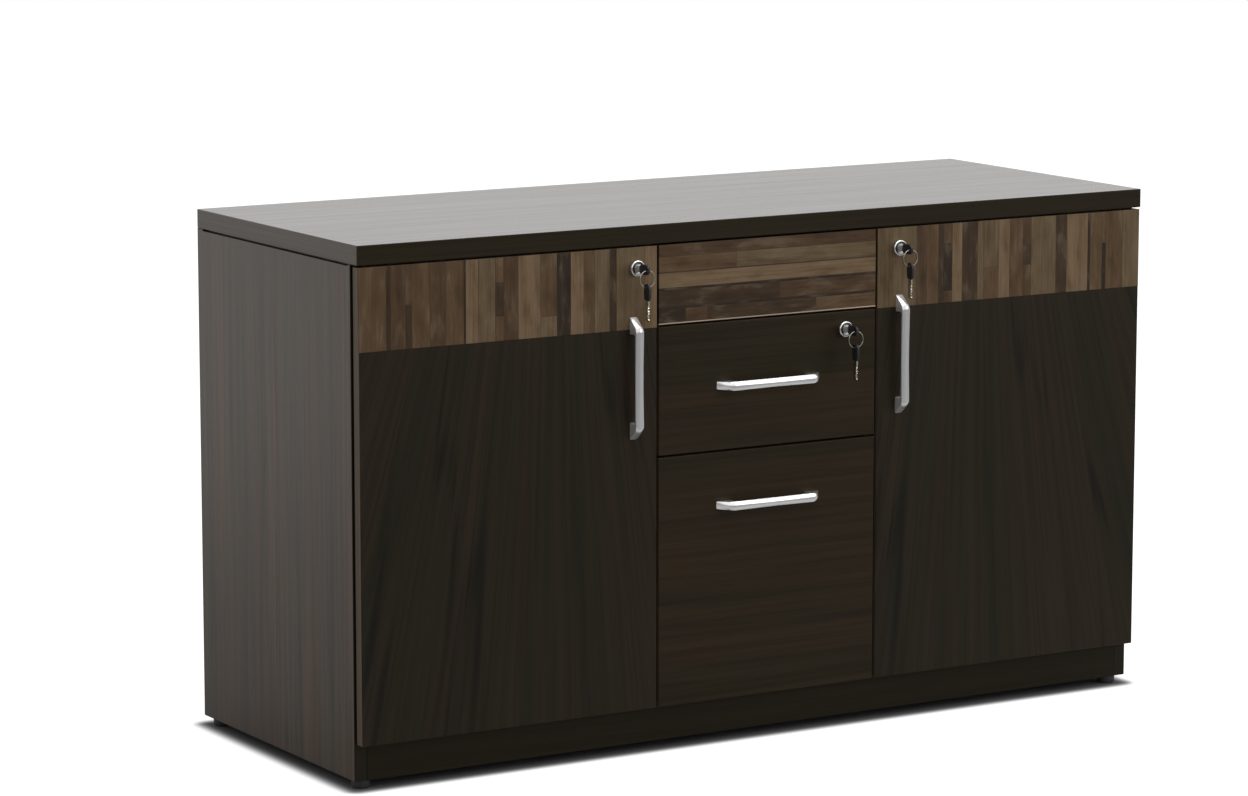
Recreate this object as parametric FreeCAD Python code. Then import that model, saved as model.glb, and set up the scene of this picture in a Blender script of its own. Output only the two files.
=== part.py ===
import FreeCAD, Part
import math
import os

os.makedirs("parts", exist_ok=True)

V = FreeCAD.Vector

# An office credenza: two hinged cupboards either side of a box drawer and a file drawer, under a
# fixed fascia, on four corner glides.  Lengths are in mm, angles in degrees.
# X runs along the width from the middle, Y runs back and Z runs up from the floor.  While the
# pieces are drawn, Y is 0 on the front face of the doors; place() moves the whole object so that
# the middle of its overall box, keys included, stands over the origin.

# --- Overall sizes -------------------------------------------------------------------------------
width = 1200.0
depth = 450.0
height = 690.0

# --- Boards --------------------------------------------------------------------------------------
top_thickness = 25.0
board = 18.0                # sides, partitions, bottom, rails, plinths and shelves
front_board = 16.0          # doors, drawer fronts and fascia
back_board = 9.0
band_sheet = 2.5            # the staved sheet along the top of the doors and over the fascia
rail_depth = 80.0           # the flat rails that carry the top

# --- Gaps between the boards ---------------------------------------------------------------------
top_reveal = 2.5            # height of the shadow groove in the side panels, under the top
reveal_depth = 6.0
reveal_front_stop = 6.0     # where the groove ends, in from a side panel's front edge
reveal_back_stop = 16.0     # where it ends, in from the back edge
top_gap = 2.5               # between the top and the edges of the fronts below it
front_gap = 3.0             # between two neighbouring fronts
edge_inset = 2.0            # outer edge of a door, in from the outer face of the side panel
front_standoff = band_sheet # between the back of the fronts and the edges of the carcass
buffer_clearance = 0.3      # between a buffer and the front that closes on it

# --- Layout of the front -------------------------------------------------------------------------
centre_bay = 336.0          # from seam to seam
glide_height = 12.0
front_bottom = 60.0         # lower edge of the doors above the floor
band_height = 105.5
upper_front_height = 167.0

# --- Handles -------------------------------------------------------------------------------------
handle_length = 158.0
handle_hole_spacing = 128.0
handle_width = 12.0
handle_standoff = 18.5
handle_bar = 5.0
handle_splay = 13.0         # each leg leans out by this from the bar to its foot
handle_foot = 22.0
handle_leg = 8.0            # length of a leg where it meets the bar
handle_bend = 7.0
handle_edge = 0.8
handle_inset = 35.0         # axis of a door handle, in from the door's inner edge
door_handle_drop = 168.5    # middle of a door handle below the door's top edge
upper_handle_drop = 82.5
lower_handle_drop = 69.5
screw_radius = 2.0
screw_hole_radius = 2.3
screw_head_radius = 4.0
screw_head_height = 2.2
screw_bite = 9.0            # depth of a handle screw in the leg

# --- Locks ---------------------------------------------------------------------------------------
lock_inset = 32.0           # axis of a door lock, in from the door's inner edge
door_lock_drop = 26.5       # axis of a door lock below the door's top edge
drawer_lock_drop = 22.5
drawer_lock_inset = 50.0
nose_radius = 10.5
nose_length = 8.0
nose_chamfer = 1.2
barrel_radius = 8.0
barrel_past_board = 4.0     # how far the barrel comes out of the back of its board
plug_radius = 5.0
plug_clearance = 0.05
plug_proud = 0.6
nut_flats = 21.0
nut_thickness = 3.0
tail_radius = 3.0
cam_thickness = 2.0
cam_reach = 31.0
cam_width = 13.0
cam_screw_radius = 4.5
cam_screw_height = 2.2
door_tail = 10.0            # from the barrel's end to the cam, in a door
drawer_tail = 0.8
strike_thickness = 1.2
strike_play = 1.5           # room round the cam's tip in its slot
strike_rim = 2.5
drawer_strike_width = 30.0
drawer_strike_height = 20.0

# --- Keys ----------------------------------------------------------------------------------------
key_head_length = 22.0
key_head_width = 13.0
key_head_thickness = 3.5
key_head_round = 3.0
key_neck = 3.0
key_neck_width = 8.0
key_blade_width = 7.0
key_blade_thickness = 2.0
key_blade_length = 26.0
key_in_plug = 17.0
key_slot_clearance = 0.1
key_hole_radius = 1.6
key_hole_edge = 4.0         # centre of the ring's hole from the end of the head
ring_radius = 11.0
ring_wire = 0.7

# --- Cup hinges ----------------------------------------------------------------------------------
cup_edge = 3.0              # wall of the cup, in from the door's outer edge
cup_radius = 17.5
cup_depth = 11.5
cup_floor = 1.0
pocket_start = 4.2          # pocket in the cup, in from the door's outer edge
pocket_length = 28.0
pocket_width = 8.0
flange_thickness = 1.0
flange_height = 52.0
flange_width = 13.0
pivot_from_edge = 6.2       # hinge axis, in from the door's outer edge
pivot_from_back = 8.0       # hinge axis, forward of the door's back face
hinge_pin_radius = 0.9
hinge_pin_length = 12.0
hinge_pin_clearance = 0.05
barrel_outer = 1.7
arm_thickness = 1.6
arm_width = 6.0
arm_run = 13.2              # from the pivot to the middle of the arm's backward leg
arm_base_start = 26.0       # front end of the arm's base behind the doors' front faces
arm_base_length = 44.0
arm_base_width = 16.0
hinge_from_end = 95.0       # hinge axis height, in from the door's top and bottom edges

# --- Slides --------------------------------------------------------------------------------------
slide_width = 12.7
slide_height = 45.0
slide_sheet = 1.2
slide_front = 22.0
slide_back_gap = 19.0       # behind the slides, to the back panel
slide_running = 0.15        # between two members that slide on each other
outer_lip = 9.5
middle_web = 2.6            # web of the middle member from the partition
middle_height = 37.0
middle_lip = 10.8
inner_height = 27.0
inner_lip = 5.0             # where the inner member's lips start, from the partition
cage_width = 3.4
cage_inset = 2.4            # of the ball cages, in from the middle member's web

# --- Drawer boxes --------------------------------------------------------------------------------
box_side = 12.0
box_bottom = 6.0
box_back_gap = 25.0         # behind the drawer boxes, to the back panel
bottom_lift = 10.0          # of the drawer bottom above the lower edge of the box sides
groove_depth = 5.0
groove_clearance = 0.25
upper_box_lift = 14.0       # lower edge of the box above the lower edge of its front
upper_box_drop = 38.0       # upper edge of the box below the upper edge of its front
upper_slide_lift = 45.0     # middle of the slide above the lower edge of the box
lower_box_lift = 24.0
lower_box_drop = 48.0
lower_slide_lift = 60.0
file_rail_height = 12.0
file_rail_thickness = 3.0

# --- Shelves, glides and buffers -----------------------------------------------------------------
shelf_side_gap = 1.0
shelf_front_set = 40.0      # front edge of a shelf behind the carcass front
shelf_back_gap = 6.0
shelf_height = 356.0        # underside of the shelves above the floor
pin_radius = 2.5
pin_hole_radius = 2.6
pin_depth = 9.0
pin_hole_depth = 11.0
pin_plate = 2.0
pin_plate_length = 9.0
pin_plate_width = 10.0
pin_rows = (-2, -1, 0, 1, 2)
pin_pitch = 32.0
pin_setback = 45.0          # of the pins from the shelf's front and back edges
glide_radius = 12.0
glide_chamfer = 2.0
buffer_radius = 3.2

# --- Derived positions ---------------------------------------------------------------------------
half = width / 2.0
carcass_front = front_board + front_standoff
inner_back = depth - back_board
top_under = height - top_thickness
side_top = top_under - top_reveal
front_top = top_under - top_gap
side_inner = half - board
rail_under = top_under - board
floor_top = front_bottom + board
seam = centre_bay / 2.0
partition_inner = seam - board / 2.0
partition_outer = seam + board / 2.0
door_inner = seam + front_gap / 2.0
door_outer = half - edge_inset
band_bottom = front_top - band_height
drawer_half = seam - front_gap / 2.0
upper_top = band_bottom
upper_bottom = upper_top - upper_front_height
lower_top = upper_bottom - front_gap
fascia_bottom = upper_top + front_gap
lock_x = door_inner + lock_inset
door_lock_z = front_top - door_lock_drop
drawer_lock_x = drawer_half - drawer_lock_inset
drawer_lock_z = upper_top - drawer_lock_drop
barrel_end = front_board + barrel_past_board
handle_x = door_inner + handle_inset
pivot_x = door_outer - pivot_from_edge
pivot_y = front_board - pivot_from_back
hinge_levels = (front_bottom + hinge_from_end, front_top - hinge_from_end)
box_outer = partition_inner - slide_width
box_back_y = inner_back - box_back_gap
slide_end = inner_back - slide_back_gap
upper_box = upper_bottom + upper_box_lift
upper_box_top = upper_top - upper_box_drop
lower_box = front_bottom + lower_box_lift
lower_box_top = lower_top - lower_box_drop
slide_levels = (upper_box + upper_slide_lift, lower_box + lower_slide_lift)
key_reach = nose_length + plug_proud + key_neck + key_head_length
ring_y = key_hole_edge - key_reach
front_reach = max(key_reach, key_head_width / 2.0 - ring_y)
origin_shift = (front_reach - depth) / 2.0


# --- Plain shapes --------------------------------------------------------------------------------
def block(x0, x1, y0, y1, z0, z1):
    """Return a box between two opposite corners."""
    return Part.makeBox(x1 - x0, y1 - y0, z1 - z0, V(x0, y0, z0))


def rod_x(x0, x1, y, z, radius):
    """Return a cylinder along X."""
    return Part.makeCylinder(radius, x1 - x0, V(x0, y, z), V(1, 0, 0))


def rod_y(x, z, y0, y1, radius):
    """Return a cylinder along Y."""
    return Part.makeCylinder(radius, y1 - y0, V(x, y0, z), V(0, 1, 0))


def rod_z(x, y, z0, z1, radius):
    """Return a cylinder along Z."""
    return Part.makeCylinder(radius, z1 - z0, V(x, y, z0), V(0, 0, 1))


def extrude(points, run):
    """Return the solid swept by a closed polygon along a vector."""
    return Part.Face(Part.makePolygon([V(*p) for p in points + points[:1]])).extrude(run)


def join(shapes):
    """Fuse touching solids into one and drop the seams between them."""
    whole = shapes[0]
    for shape in shapes[1:]:
        whole = whole.fuse(shape)
    return whole.removeSplitter()


def cut(shape, tools):
    """Take each of the tools out of a shape."""
    for tool in tools:
        shape = shape.cut(tool)
    return shape


def other_side(shape):
    """Return the shape's mirror image on the other side of the middle."""
    return shape.mirror(V(0, 0, 0), V(1, 0, 0))


def both_sides(shapes):
    """Return the shapes together with their mirror images."""
    return shapes + [other_side(s) for s in shapes]


def moved(shape, x=0.0, y=0.0, z=0.0):
    """Return a copy of a shape, shifted."""
    copy = shape.copy()
    copy.translate(V(x, y, z))
    return copy


def edges_along(shape, direction, test):
    """Return the straight edges parallel to a direction whose middle passes a test."""
    found = []
    for edge in shape.Edges:
        if isinstance(edge.Curve, Part.Line):
            along = edge.Vertexes[1].Point - edge.Vertexes[0].Point
            if abs(along.normalize().dot(direction)) > 0.999 and test(edge.CenterOfMass):
                found.append(edge)
    return found


def place(shape):
    """Move a finished shape from the door fronts' frame to the object's own."""
    return moved(shape, y=origin_shift)


def save(name, shapes):
    """Write one node: a single solid, or a group of separate ones."""
    placed = [place(s) for s in shapes]
    whole = placed[0] if len(placed) == 1 else Part.makeCompound(placed)
    whole.exportStep(os.path.join("parts", name + ".step"))


# --- Carcass -------------------------------------------------------------------------------------
def shelf_y_positions():
    """Return the two depths at which the shelf pins stand."""
    front = carcass_front + shelf_front_set + pin_setback
    return front, inner_back - shelf_back_gap - pin_setback


def pin_holes(face_x, inward):
    """Return the rows of shelf pin holes in a board, from its face into the board."""
    x0, x1 = sorted((face_x, face_x + inward * pin_hole_depth))
    pin_z = shelf_height - pin_plate - pin_radius
    return [
        rod_x(x0, x1, y, pin_z + row * pin_pitch, pin_hole_radius)
        for y in shelf_y_positions()
        for row in pin_rows
    ]


def top_panel():
    """The top: a plain board, flush with the sides, the back and the fronts."""
    return block(-half, half, 0, depth, top_under, height)


def side_panel():
    """The right side panel, with the groove under the top and the rows of holes for shelf pins."""
    panel = block(side_inner, half, carcass_front, depth, glide_height, top_under)
    groove = block(
        half - reveal_depth, half, carcass_front + reveal_front_stop, depth - reveal_back_stop,
        side_top, top_under,
    )
    return cut(panel, pin_holes(side_inner, 1) + [groove])


def cam_slot():
    """Room in the right partition for the cam of the door's lock to swing into."""
    cam_y0 = barrel_end + door_tail
    depth_in = lock_x - partition_outer
    drop = math.sqrt(cam_reach ** 2 - depth_in ** 2) + cam_width / 2.0
    return block(
        lock_x - cam_reach - strike_play, partition_outer,
        cam_y0 - strike_play, cam_y0 + cam_thickness + strike_play,
        door_lock_z - drop - strike_play, door_lock_z + cam_width / 2.0 + strike_play,
    )


def partition():
    """The right partition, with shelf pin holes and the mortise for the lock's cam."""
    panel = block(
        partition_inner, partition_outer, carcass_front, inner_back, floor_top, rail_under
    )
    return cut(panel, pin_holes(partition_outer, -1) + [cam_slot()])


def bottom_panel():
    """The floor of the cupboards and of the drawer bay."""
    return block(-side_inner, side_inner, carcass_front, inner_back, front_bottom, floor_top)


def back_panel():
    """The back, between the side panels."""
    return block(-side_inner, side_inner, inner_back, depth, front_bottom, side_top)


def top_rails():
    """The front and rear rails, which carry the top together with the side panels."""
    spans = ((carcass_front, carcass_front + rail_depth), (inner_back - rail_depth, inner_back))
    return [block(-side_inner, side_inner, a, b, rail_under, top_under) for a, b in spans]


def plinth(y0):
    """A plinth board between the side panels, under the bottom."""
    return block(-side_inner, side_inner, y0, y0 + board, glide_height, front_bottom)


def fascia_panel():
    """The fixed board over the drawers, screwed to the edges of the partitions."""
    return block(
        -drawer_half, drawer_half, carcass_front - front_board, carcass_front,
        fascia_bottom, front_top,
    )


def fascia_band():
    """The staved sheet on the face of the fascia."""
    return block(
        -drawer_half, drawer_half, 0, carcass_front - front_board, fascia_bottom, front_top
    )


def floor_glides():
    """Four round glides under the corners where the sides meet the plinths."""
    glides = []
    for x in (-side_inner, side_inner):
        for y in (carcass_front + board, depth - board):
            disc = rod_z(x, y, 0, glide_height, glide_radius)
            rim = [e for e in disc.Edges if abs(e.BoundBox.ZMax) < 0.01]
            glides.append(disc.makeChamfer(glide_chamfer, rim))
    return glides


def shelf():
    """The right adjustable shelf."""
    return block(
        partition_outer + shelf_side_gap, side_inner - shelf_side_gap,
        carcass_front + shelf_front_set, inner_back - shelf_back_gap,
        shelf_height, shelf_height + board,
    )


def shelf_pins():
    """Four supports for the right shelf: a peg in the board and a flat tongue under the shelf."""
    pins = []
    pin_z = shelf_height - pin_plate - pin_radius
    for face_x, inward in ((side_inner, -1), (partition_outer, 1)):
        for y in shelf_y_positions():
            peg_x = sorted((face_x - inward * pin_depth, face_x))
            peg = rod_x(peg_x[0], peg_x[1], y, pin_z, pin_radius)
            plate_x = sorted((face_x, face_x + inward * pin_plate_length))
            stop_x = sorted((face_x, face_x + inward * pin_plate))
            tongue = block(
                plate_x[0], plate_x[1], y - pin_plate_width / 2.0, y + pin_plate_width / 2.0,
                shelf_height - pin_plate, shelf_height,
            )
            stop = block(
                stop_x[0], stop_x[1], y - pin_plate_width / 2.0, y + pin_plate_width / 2.0,
                pin_z - pin_radius, shelf_height - pin_plate,
            )
            pins.append(join([peg, tongue, stop]))
    return pins


def buffers():
    """Soft discs on the carcass that the doors and the drawer fronts close on."""
    levels = (front_bottom + 2.0 * board, shelf_height)
    ring_x = (partition_outer + door_inner) / 2.0
    inner_x = (partition_inner + drawer_half) / 2.0
    y1 = carcass_front
    y0 = front_board + buffer_clearance
    spots = [(ring_x, levels[0]), (ring_x, levels[1])]
    spots += [(inner_x, levels[0]), (inner_x, upper_bottom + 2.0 * board)]
    return both_sides([rod_y(x, z, y0, y1, buffer_radius) for x, z in spots])


# --- Locks and keys ------------------------------------------------------------------------------
def lock_housing(x, z):
    """A lock's barrel with its round nose, and the nut that holds it in the board."""
    nose = rod_y(x, z, -nose_length, 0, nose_radius)
    rim = [e for e in nose.Edges if abs(e.BoundBox.YMax + nose_length) < 0.01]
    nose = nose.makeChamfer(nose_chamfer, rim)
    bore = rod_y(x, z, -nose_length, barrel_end, plug_radius + plug_clearance)
    barrel = join([nose, rod_y(x, z, 0, barrel_end, barrel_radius)]).cut(bore)
    corner = nut_flats / 2.0 / math.cos(math.pi / 6.0)
    points = [
        (x + corner * math.cos(math.radians(60 * i)), front_board,
         z + corner * math.sin(math.radians(60 * i)))
        for i in range(6)
    ]
    nut = extrude(points, V(0, nut_thickness, 0))
    return [barrel, nut.cut(rod_y(x, z, front_board, barrel_end, barrel_radius))]


def lock_hole(x, z):
    """The hole in a board for a lock's barrel."""
    return rod_y(x, z, 0, front_board, barrel_radius)


def lock_plug(x, z, tail):
    """The plug that the key turns, with its keyway and the tail that carries the cam."""
    front = -nose_length - plug_proud
    body = rod_y(x, z, front, barrel_end, plug_radius)
    stem = rod_y(x, z, barrel_end, barrel_end + tail + cam_thickness, tail_radius)
    keyway = block(
        x - key_blade_thickness / 2.0 - key_slot_clearance,
        x + key_blade_thickness / 2.0 + key_slot_clearance,
        front, front + key_in_plug + key_slot_clearance,
        z - key_blade_width / 2.0 - key_slot_clearance,
        z + key_blade_width / 2.0 + key_slot_clearance,
    )
    return join([body, stem]).cut(keyway)


def lock_cam(x, z, tail, direction):
    """The cam plate and its screw; direction is where the cam points when it is unlocked."""
    y0 = barrel_end + tail
    y1 = y0 + cam_thickness
    straight = cam_reach - cam_width / 2.0
    disc = rod_y(x, z, y0, y1, cam_width / 2.0)
    tip = rod_y(x, z - straight, y0, y1, cam_width / 2.0)
    bar = block(x - cam_width / 2.0, x + cam_width / 2.0, y0, y1, z - straight, z)
    plate = join([disc, bar, tip]).cut(rod_y(x, z, y0, y1, tail_radius))
    plate.rotate(V(x, y0, z), V(0, 1, 0), direction)
    screw = rod_y(x, z, y1, y1 + cam_screw_height, cam_screw_radius)
    return [plate, screw]


def key_head(x, y, z):
    """A flat key head in the plane X = x, its ring hole at (y, z) and its length along -Y."""
    y0 = y - key_hole_edge
    head = block(
        x - key_head_thickness / 2.0, x + key_head_thickness / 2.0,
        y0, y0 + key_head_length, z - key_head_width / 2.0, z + key_head_width / 2.0,
    )
    head = head.makeFillet(key_head_round, edges_along(head, V(1, 0, 0), lambda c: True))
    hole = rod_x(x - key_head_thickness, x + key_head_thickness, y, z, key_hole_radius)
    return head.cut(hole)


def key_blade(x, y0, y1, z):
    """The metal blade of a key, along Y."""
    return block(
        x - key_blade_thickness / 2.0, x + key_blade_thickness / 2.0, y0, y1,
        z - key_blade_width / 2.0, z + key_blade_width / 2.0,
    )


def inserted_key(x, z):
    """The key in the plug: a plastic head and the metal blade in the keyway."""
    head_back = ring_y - key_hole_edge + key_head_length
    shoulder = -nose_length - plug_proud
    collar = block(
        x - key_head_thickness / 2.0, x + key_head_thickness / 2.0, head_back, shoulder,
        z - key_neck_width / 2.0, z + key_neck_width / 2.0,
    )
    blade = key_blade(x, shoulder, shoulder + key_in_plug, z)
    return [key_head(x, ring_y, z), join([collar, blade])]


def spare_key(x, z):
    """The wire ring through the inserted key's head and the spare key that hangs from it."""
    ring = Part.makeTorus(ring_radius, ring_wire, V(x, ring_y, z - ring_radius), V(0, 1, 0))
    hole_z = z - 2.0 * ring_radius + (key_hole_radius - ring_wire)
    y_end = ring_y - key_hole_edge + key_head_length
    head = key_head(x, ring_y, z)
    blade = key_blade(x, y_end, y_end + key_blade_length, z)
    hang = []
    for piece in (head, blade):
        piece.rotate(V(x, ring_y, z), V(1, 0, 0), -90)
        hang.append(moved(piece, z=hole_z - z))
    return [ring] + hang


# --- Handles -------------------------------------------------------------------------------------
def handle():
    """A flat bow handle along Z round the origin, its two feet on the plane Y = 0."""
    end = handle_length / 2.0
    bar_end = end - handle_splay
    side = [
        (0, 0, -end), (0, -handle_standoff, -bar_end),
        (0, -handle_standoff, bar_end), (0, 0, end),
        (0, 0, end - handle_foot), (0, -handle_standoff + handle_bar, bar_end - handle_leg),
        (0, -handle_standoff + handle_bar, -bar_end + handle_leg), (0, 0, -end + handle_foot),
    ]
    points = [(-handle_width / 2.0, y, z) for _, y, z in side]
    body = extrude(points, V(handle_width, 0, 0))
    outer = edges_along(body, V(1, 0, 0), lambda c: c.y < -handle_standoff + 0.01)
    body = body.makeFillet(handle_bend, outer)
    rims = [
        e for e in body.Edges
        if abs(abs(e.CenterOfMass.x) - handle_width / 2.0) < 0.01
        and e.BoundBox.YMax < -0.01 and e.BoundBox.YMin < -handle_standoff + 0.01
        and e.BoundBox.YMax < -handle_standoff + handle_bend
    ]
    body = body.makeFillet(handle_edge, [e for e in rims if e.BoundBox.ZLength > 0.01])
    holes = [rod_y(0, s * handle_hole_spacing / 2.0, -screw_bite, 0, screw_radius) for s in (-1, 1)]
    return cut(body, holes)


def handle_screws():
    """The two screws of a handle, from the back of a front into the handle's legs."""
    return [
        join([
            rod_y(0, s * handle_hole_spacing / 2.0, -screw_bite, front_board, screw_radius),
            rod_y(0, s * handle_hole_spacing / 2.0, front_board, front_board + screw_head_height,
                  screw_head_radius),
        ])
        for s in (-1, 1)
    ]


def handle_clearances():
    """The two screw holes through the front behind a handle."""
    return [
        rod_y(0, s * handle_hole_spacing / 2.0, 0, front_board, screw_hole_radius) for s in (-1, 1)
    ]


def upright(shapes, x, z):
    """Set handle pieces on a door, along Z."""
    return [moved(s, x, 0, z) for s in shapes]


def lying(shapes, z):
    """Set handle pieces on a drawer front, along X."""
    turned = []
    for shape in shapes:
        copy = shape.copy()
        copy.rotate(V(0, 0, 0), V(0, 1, 0), 90)
        turned.append(moved(copy, 0, 0, z))
    return turned


# --- Right door and its hinges -------------------------------------------------------------------
def hinge_cup(z):
    """A hinge cup: a round body let into the door, a pocket for the arm and a screwed flange."""
    centre = door_outer - cup_edge - cup_radius
    bottom_y = front_board - cup_depth
    body = rod_y(centre, z, bottom_y, front_board, cup_radius)
    flange_x = centre - cup_radius / 2.0
    flange = block(
        flange_x - flange_width / 2.0, flange_x + flange_width / 2.0,
        front_board, front_board + flange_thickness,
        z - flange_height / 2.0, z + flange_height / 2.0,
    )
    pocket = block(
        door_outer - pocket_start - pocket_length, door_outer - pocket_start,
        bottom_y + cup_floor, front_board + flange_thickness,
        z - pocket_width / 2.0, z + pocket_width / 2.0,
    )
    pin_seat = rod_z(pivot_x, pivot_y, z - hinge_pin_length / 2.0, z + hinge_pin_length / 2.0,
                     hinge_pin_radius)
    return join([body, flange]).cut(pocket).cut(pin_seat)


def hinge_pin(z):
    """The pin across a cup's pocket."""
    return rod_z(pivot_x, pivot_y, z - hinge_pin_length / 2.0, z + hinge_pin_length / 2.0,
                 hinge_pin_radius)


def hinge_arm(z):
    """A hinge arm: an eye on the pin, a bent arm out of the cup and a base on the side panel."""
    half_width = arm_width / 2.0
    t = arm_thickness / 2.0
    eye = rod_z(pivot_x, pivot_y, z - half_width, z + half_width, barrel_outer)
    leg_x = pivot_x - arm_run
    run = block(leg_x - t, pivot_x, pivot_y - t, pivot_y + t, z - half_width, z + half_width)
    leg = block(leg_x - t, leg_x + t, pivot_y - t, arm_base_start, z - half_width, z + half_width)
    base = block(
        leg_x - t, side_inner, arm_base_start, arm_base_start + arm_base_length,
        z - arm_base_width / 2.0, z + arm_base_width / 2.0,
    )
    bore = rod_z(pivot_x, pivot_y, z - half_width, z + half_width,
                 hinge_pin_radius + hinge_pin_clearance)
    return join([eye, run, leg, base]).cut(bore)


def door_panel():
    """The right door: a board with a rebate for the band and holes for the hardware."""
    panel = block(door_inner, door_outer, 0, front_board, front_bottom, front_top)
    rebate = block(door_inner, door_outer, 0, band_sheet, band_bottom, front_top)
    centre = door_outer - cup_edge - cup_radius
    cups = [rod_y(centre, z, front_board - cup_depth, front_board, cup_radius)
            for z in hinge_levels]
    screws = upright(handle_clearances(), handle_x, front_top - door_handle_drop)
    return cut(panel, [rebate, lock_hole(lock_x, door_lock_z)] + cups + screws)


def door_band():
    """The staved sheet along the top of the right door."""
    sheet = block(door_inner, door_outer, 0, band_sheet, band_bottom, front_top)
    screws = upright(handle_clearances(), handle_x, front_top - door_handle_drop)
    return cut(sheet, [lock_hole(lock_x, door_lock_z)] + screws)


def door_strike():
    """The plate on the right partition round the cam's slot."""
    slot = cam_slot().BoundBox
    plate = block(
        partition_outer, partition_outer + strike_thickness,
        slot.YMin - strike_rim, slot.YMax + strike_rim,
        slot.ZMin - strike_rim, slot.ZMax + strike_rim,
    )
    opening = block(
        partition_outer, partition_outer + strike_thickness,
        slot.YMin, slot.YMax, slot.ZMin, slot.ZMax,
    )
    return plate.cut(opening)


def drawer_strike():
    """The plate on the back of the fascia that the drawer lock's cam turns up behind."""
    return block(
        drawer_lock_x - drawer_strike_width / 2.0, drawer_lock_x + drawer_strike_width / 2.0,
        carcass_front, carcass_front + strike_thickness,
        fascia_bottom, fascia_bottom + drawer_strike_height,
    )


# --- Drawers -------------------------------------------------------------------------------------
def drawer_front(z0, z1, handle_z, lock):
    """A drawer front with the holes for its handle and, if it has one, its lock."""
    front = block(-drawer_half, drawer_half, 0, front_board, z0, z1)
    holes = lying(handle_clearances(), handle_z)
    if lock:
        holes.append(lock_hole(drawer_lock_x, drawer_lock_z))
    return cut(front, holes)


def drawer_grooves(z0):
    """The groove round the inside of a drawer box that holds its bottom."""
    low = z0 + bottom_lift
    return block(
        -box_outer + box_side - groove_depth, box_outer - box_side + groove_depth,
        front_board, box_back_y - box_side + groove_depth,
        low - groove_clearance, low + box_bottom,
    )


def drawer_sides(z0, z1):
    """The two sides of a drawer box, grooved for its bottom."""
    side = block(box_outer - box_side, box_outer, front_board, box_back_y, z0, z1)
    return both_sides([side.cut(drawer_grooves(z0))])


def drawer_back(z0, z1):
    """The back of a drawer box, between the sides."""
    inner = box_outer - box_side
    back = block(-inner, inner, box_back_y - box_side, box_back_y, z0, z1)
    return back.cut(drawer_grooves(z0))


def drawer_bottom(z0):
    """The bottom of a drawer box, its edges in the grooves."""
    low = z0 + bottom_lift
    reach = box_outer - box_side + groove_depth - groove_clearance
    return block(
        -reach, reach, front_board, box_back_y - box_side + groove_depth - groove_clearance,
        low, low + box_bottom,
    )


def channel(x0, x1, web_at_x0, z, tall):
    """A slide member: a C section with its web at one end of the span x0 to x1."""
    y0, y1 = slide_front, slide_end
    top, bottom = z + tall / 2.0, z - tall / 2.0
    web = (x0, x0 + slide_sheet) if web_at_x0 else (x1 - slide_sheet, x1)
    return join([
        block(web[0], web[1], y0, y1, bottom, top),
        block(x0, x1, y0, y1, top - slide_sheet, top),
        block(x0, x1, y0, y1, bottom, bottom + slide_sheet),
    ])


def outer_member(z):
    """The right slide member that is screwed to the partition."""
    wall = partition_inner
    return channel(wall - outer_lip, wall, False, z, slide_height)


def middle_member(z):
    """The right middle member with the ball cages that run on the outer and inner members."""
    wall = partition_inner
    x0, x1 = wall - middle_lip, wall - middle_web
    pieces = [channel(x0, x1, False, z, middle_height)]
    outer_gap = (slide_height - middle_height) / 2.0 - slide_sheet - slide_running
    inner_gap = (middle_height - inner_height) / 2.0 - slide_sheet - slide_running
    lo, hi = x1 - cage_inset - cage_width, x1 - cage_inset
    for sign in (-1, 1):
        outside = z + sign * middle_height / 2.0
        inside = z + sign * (middle_height / 2.0 - slide_sheet)
        for start, size in ((outside, sign * outer_gap), (inside, -sign * inner_gap)):
            z0, z1 = sorted((start, start + size))
            pieces.append(block(lo, hi, slide_front, slide_end, z0, z1))
    return pieces


def inner_member(z):
    """The right slide member that is screwed to the drawer box."""
    wall = partition_inner
    return channel(wall - slide_width, wall - inner_lip, True, z, inner_height)


def file_rails():
    """Two flat bars along the tops of the file drawer's sides that carry hanging files."""
    middle = box_outer - box_side / 2.0
    bar = block(
        middle - file_rail_thickness / 2.0, middle + file_rail_thickness / 2.0,
        front_board, box_back_y, lower_box_top, lower_box_top + file_rail_height,
    )
    return both_sides([bar])


# --- Write the nodes -----------------------------------------------------------------------------
def save_carcass():
    """Write every piece that stands still."""
    save("top_panel", [top_panel()])
    save("right_side_panel", [side_panel()])
    save("left_side_panel", [other_side(side_panel())])
    save("bottom_panel", [bottom_panel()])
    save("right_partition", [partition()])
    save("left_partition", [other_side(partition())])
    save("back_panel", [back_panel()])
    save("top_rails", top_rails())
    save("plinths", [plinth(carcass_front), plinth(depth - board)])
    save("fascia_panel", [fascia_panel()])
    save("fascia_band", [fascia_band()])
    save("floor_glides", floor_glides())
    save("shelves", both_sides([shelf()]))
    save("shelf_pins", both_sides(shelf_pins()))
    save("front_buffers", buffers())
    save("lock_strikes", both_sides([door_strike()]) + [drawer_strike()])
    save("hinge_arms", both_sides([hinge_arm(z) for z in hinge_levels]))
    save("outer_slides", both_sides([outer_member(z) for z in slide_levels]))


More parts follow.
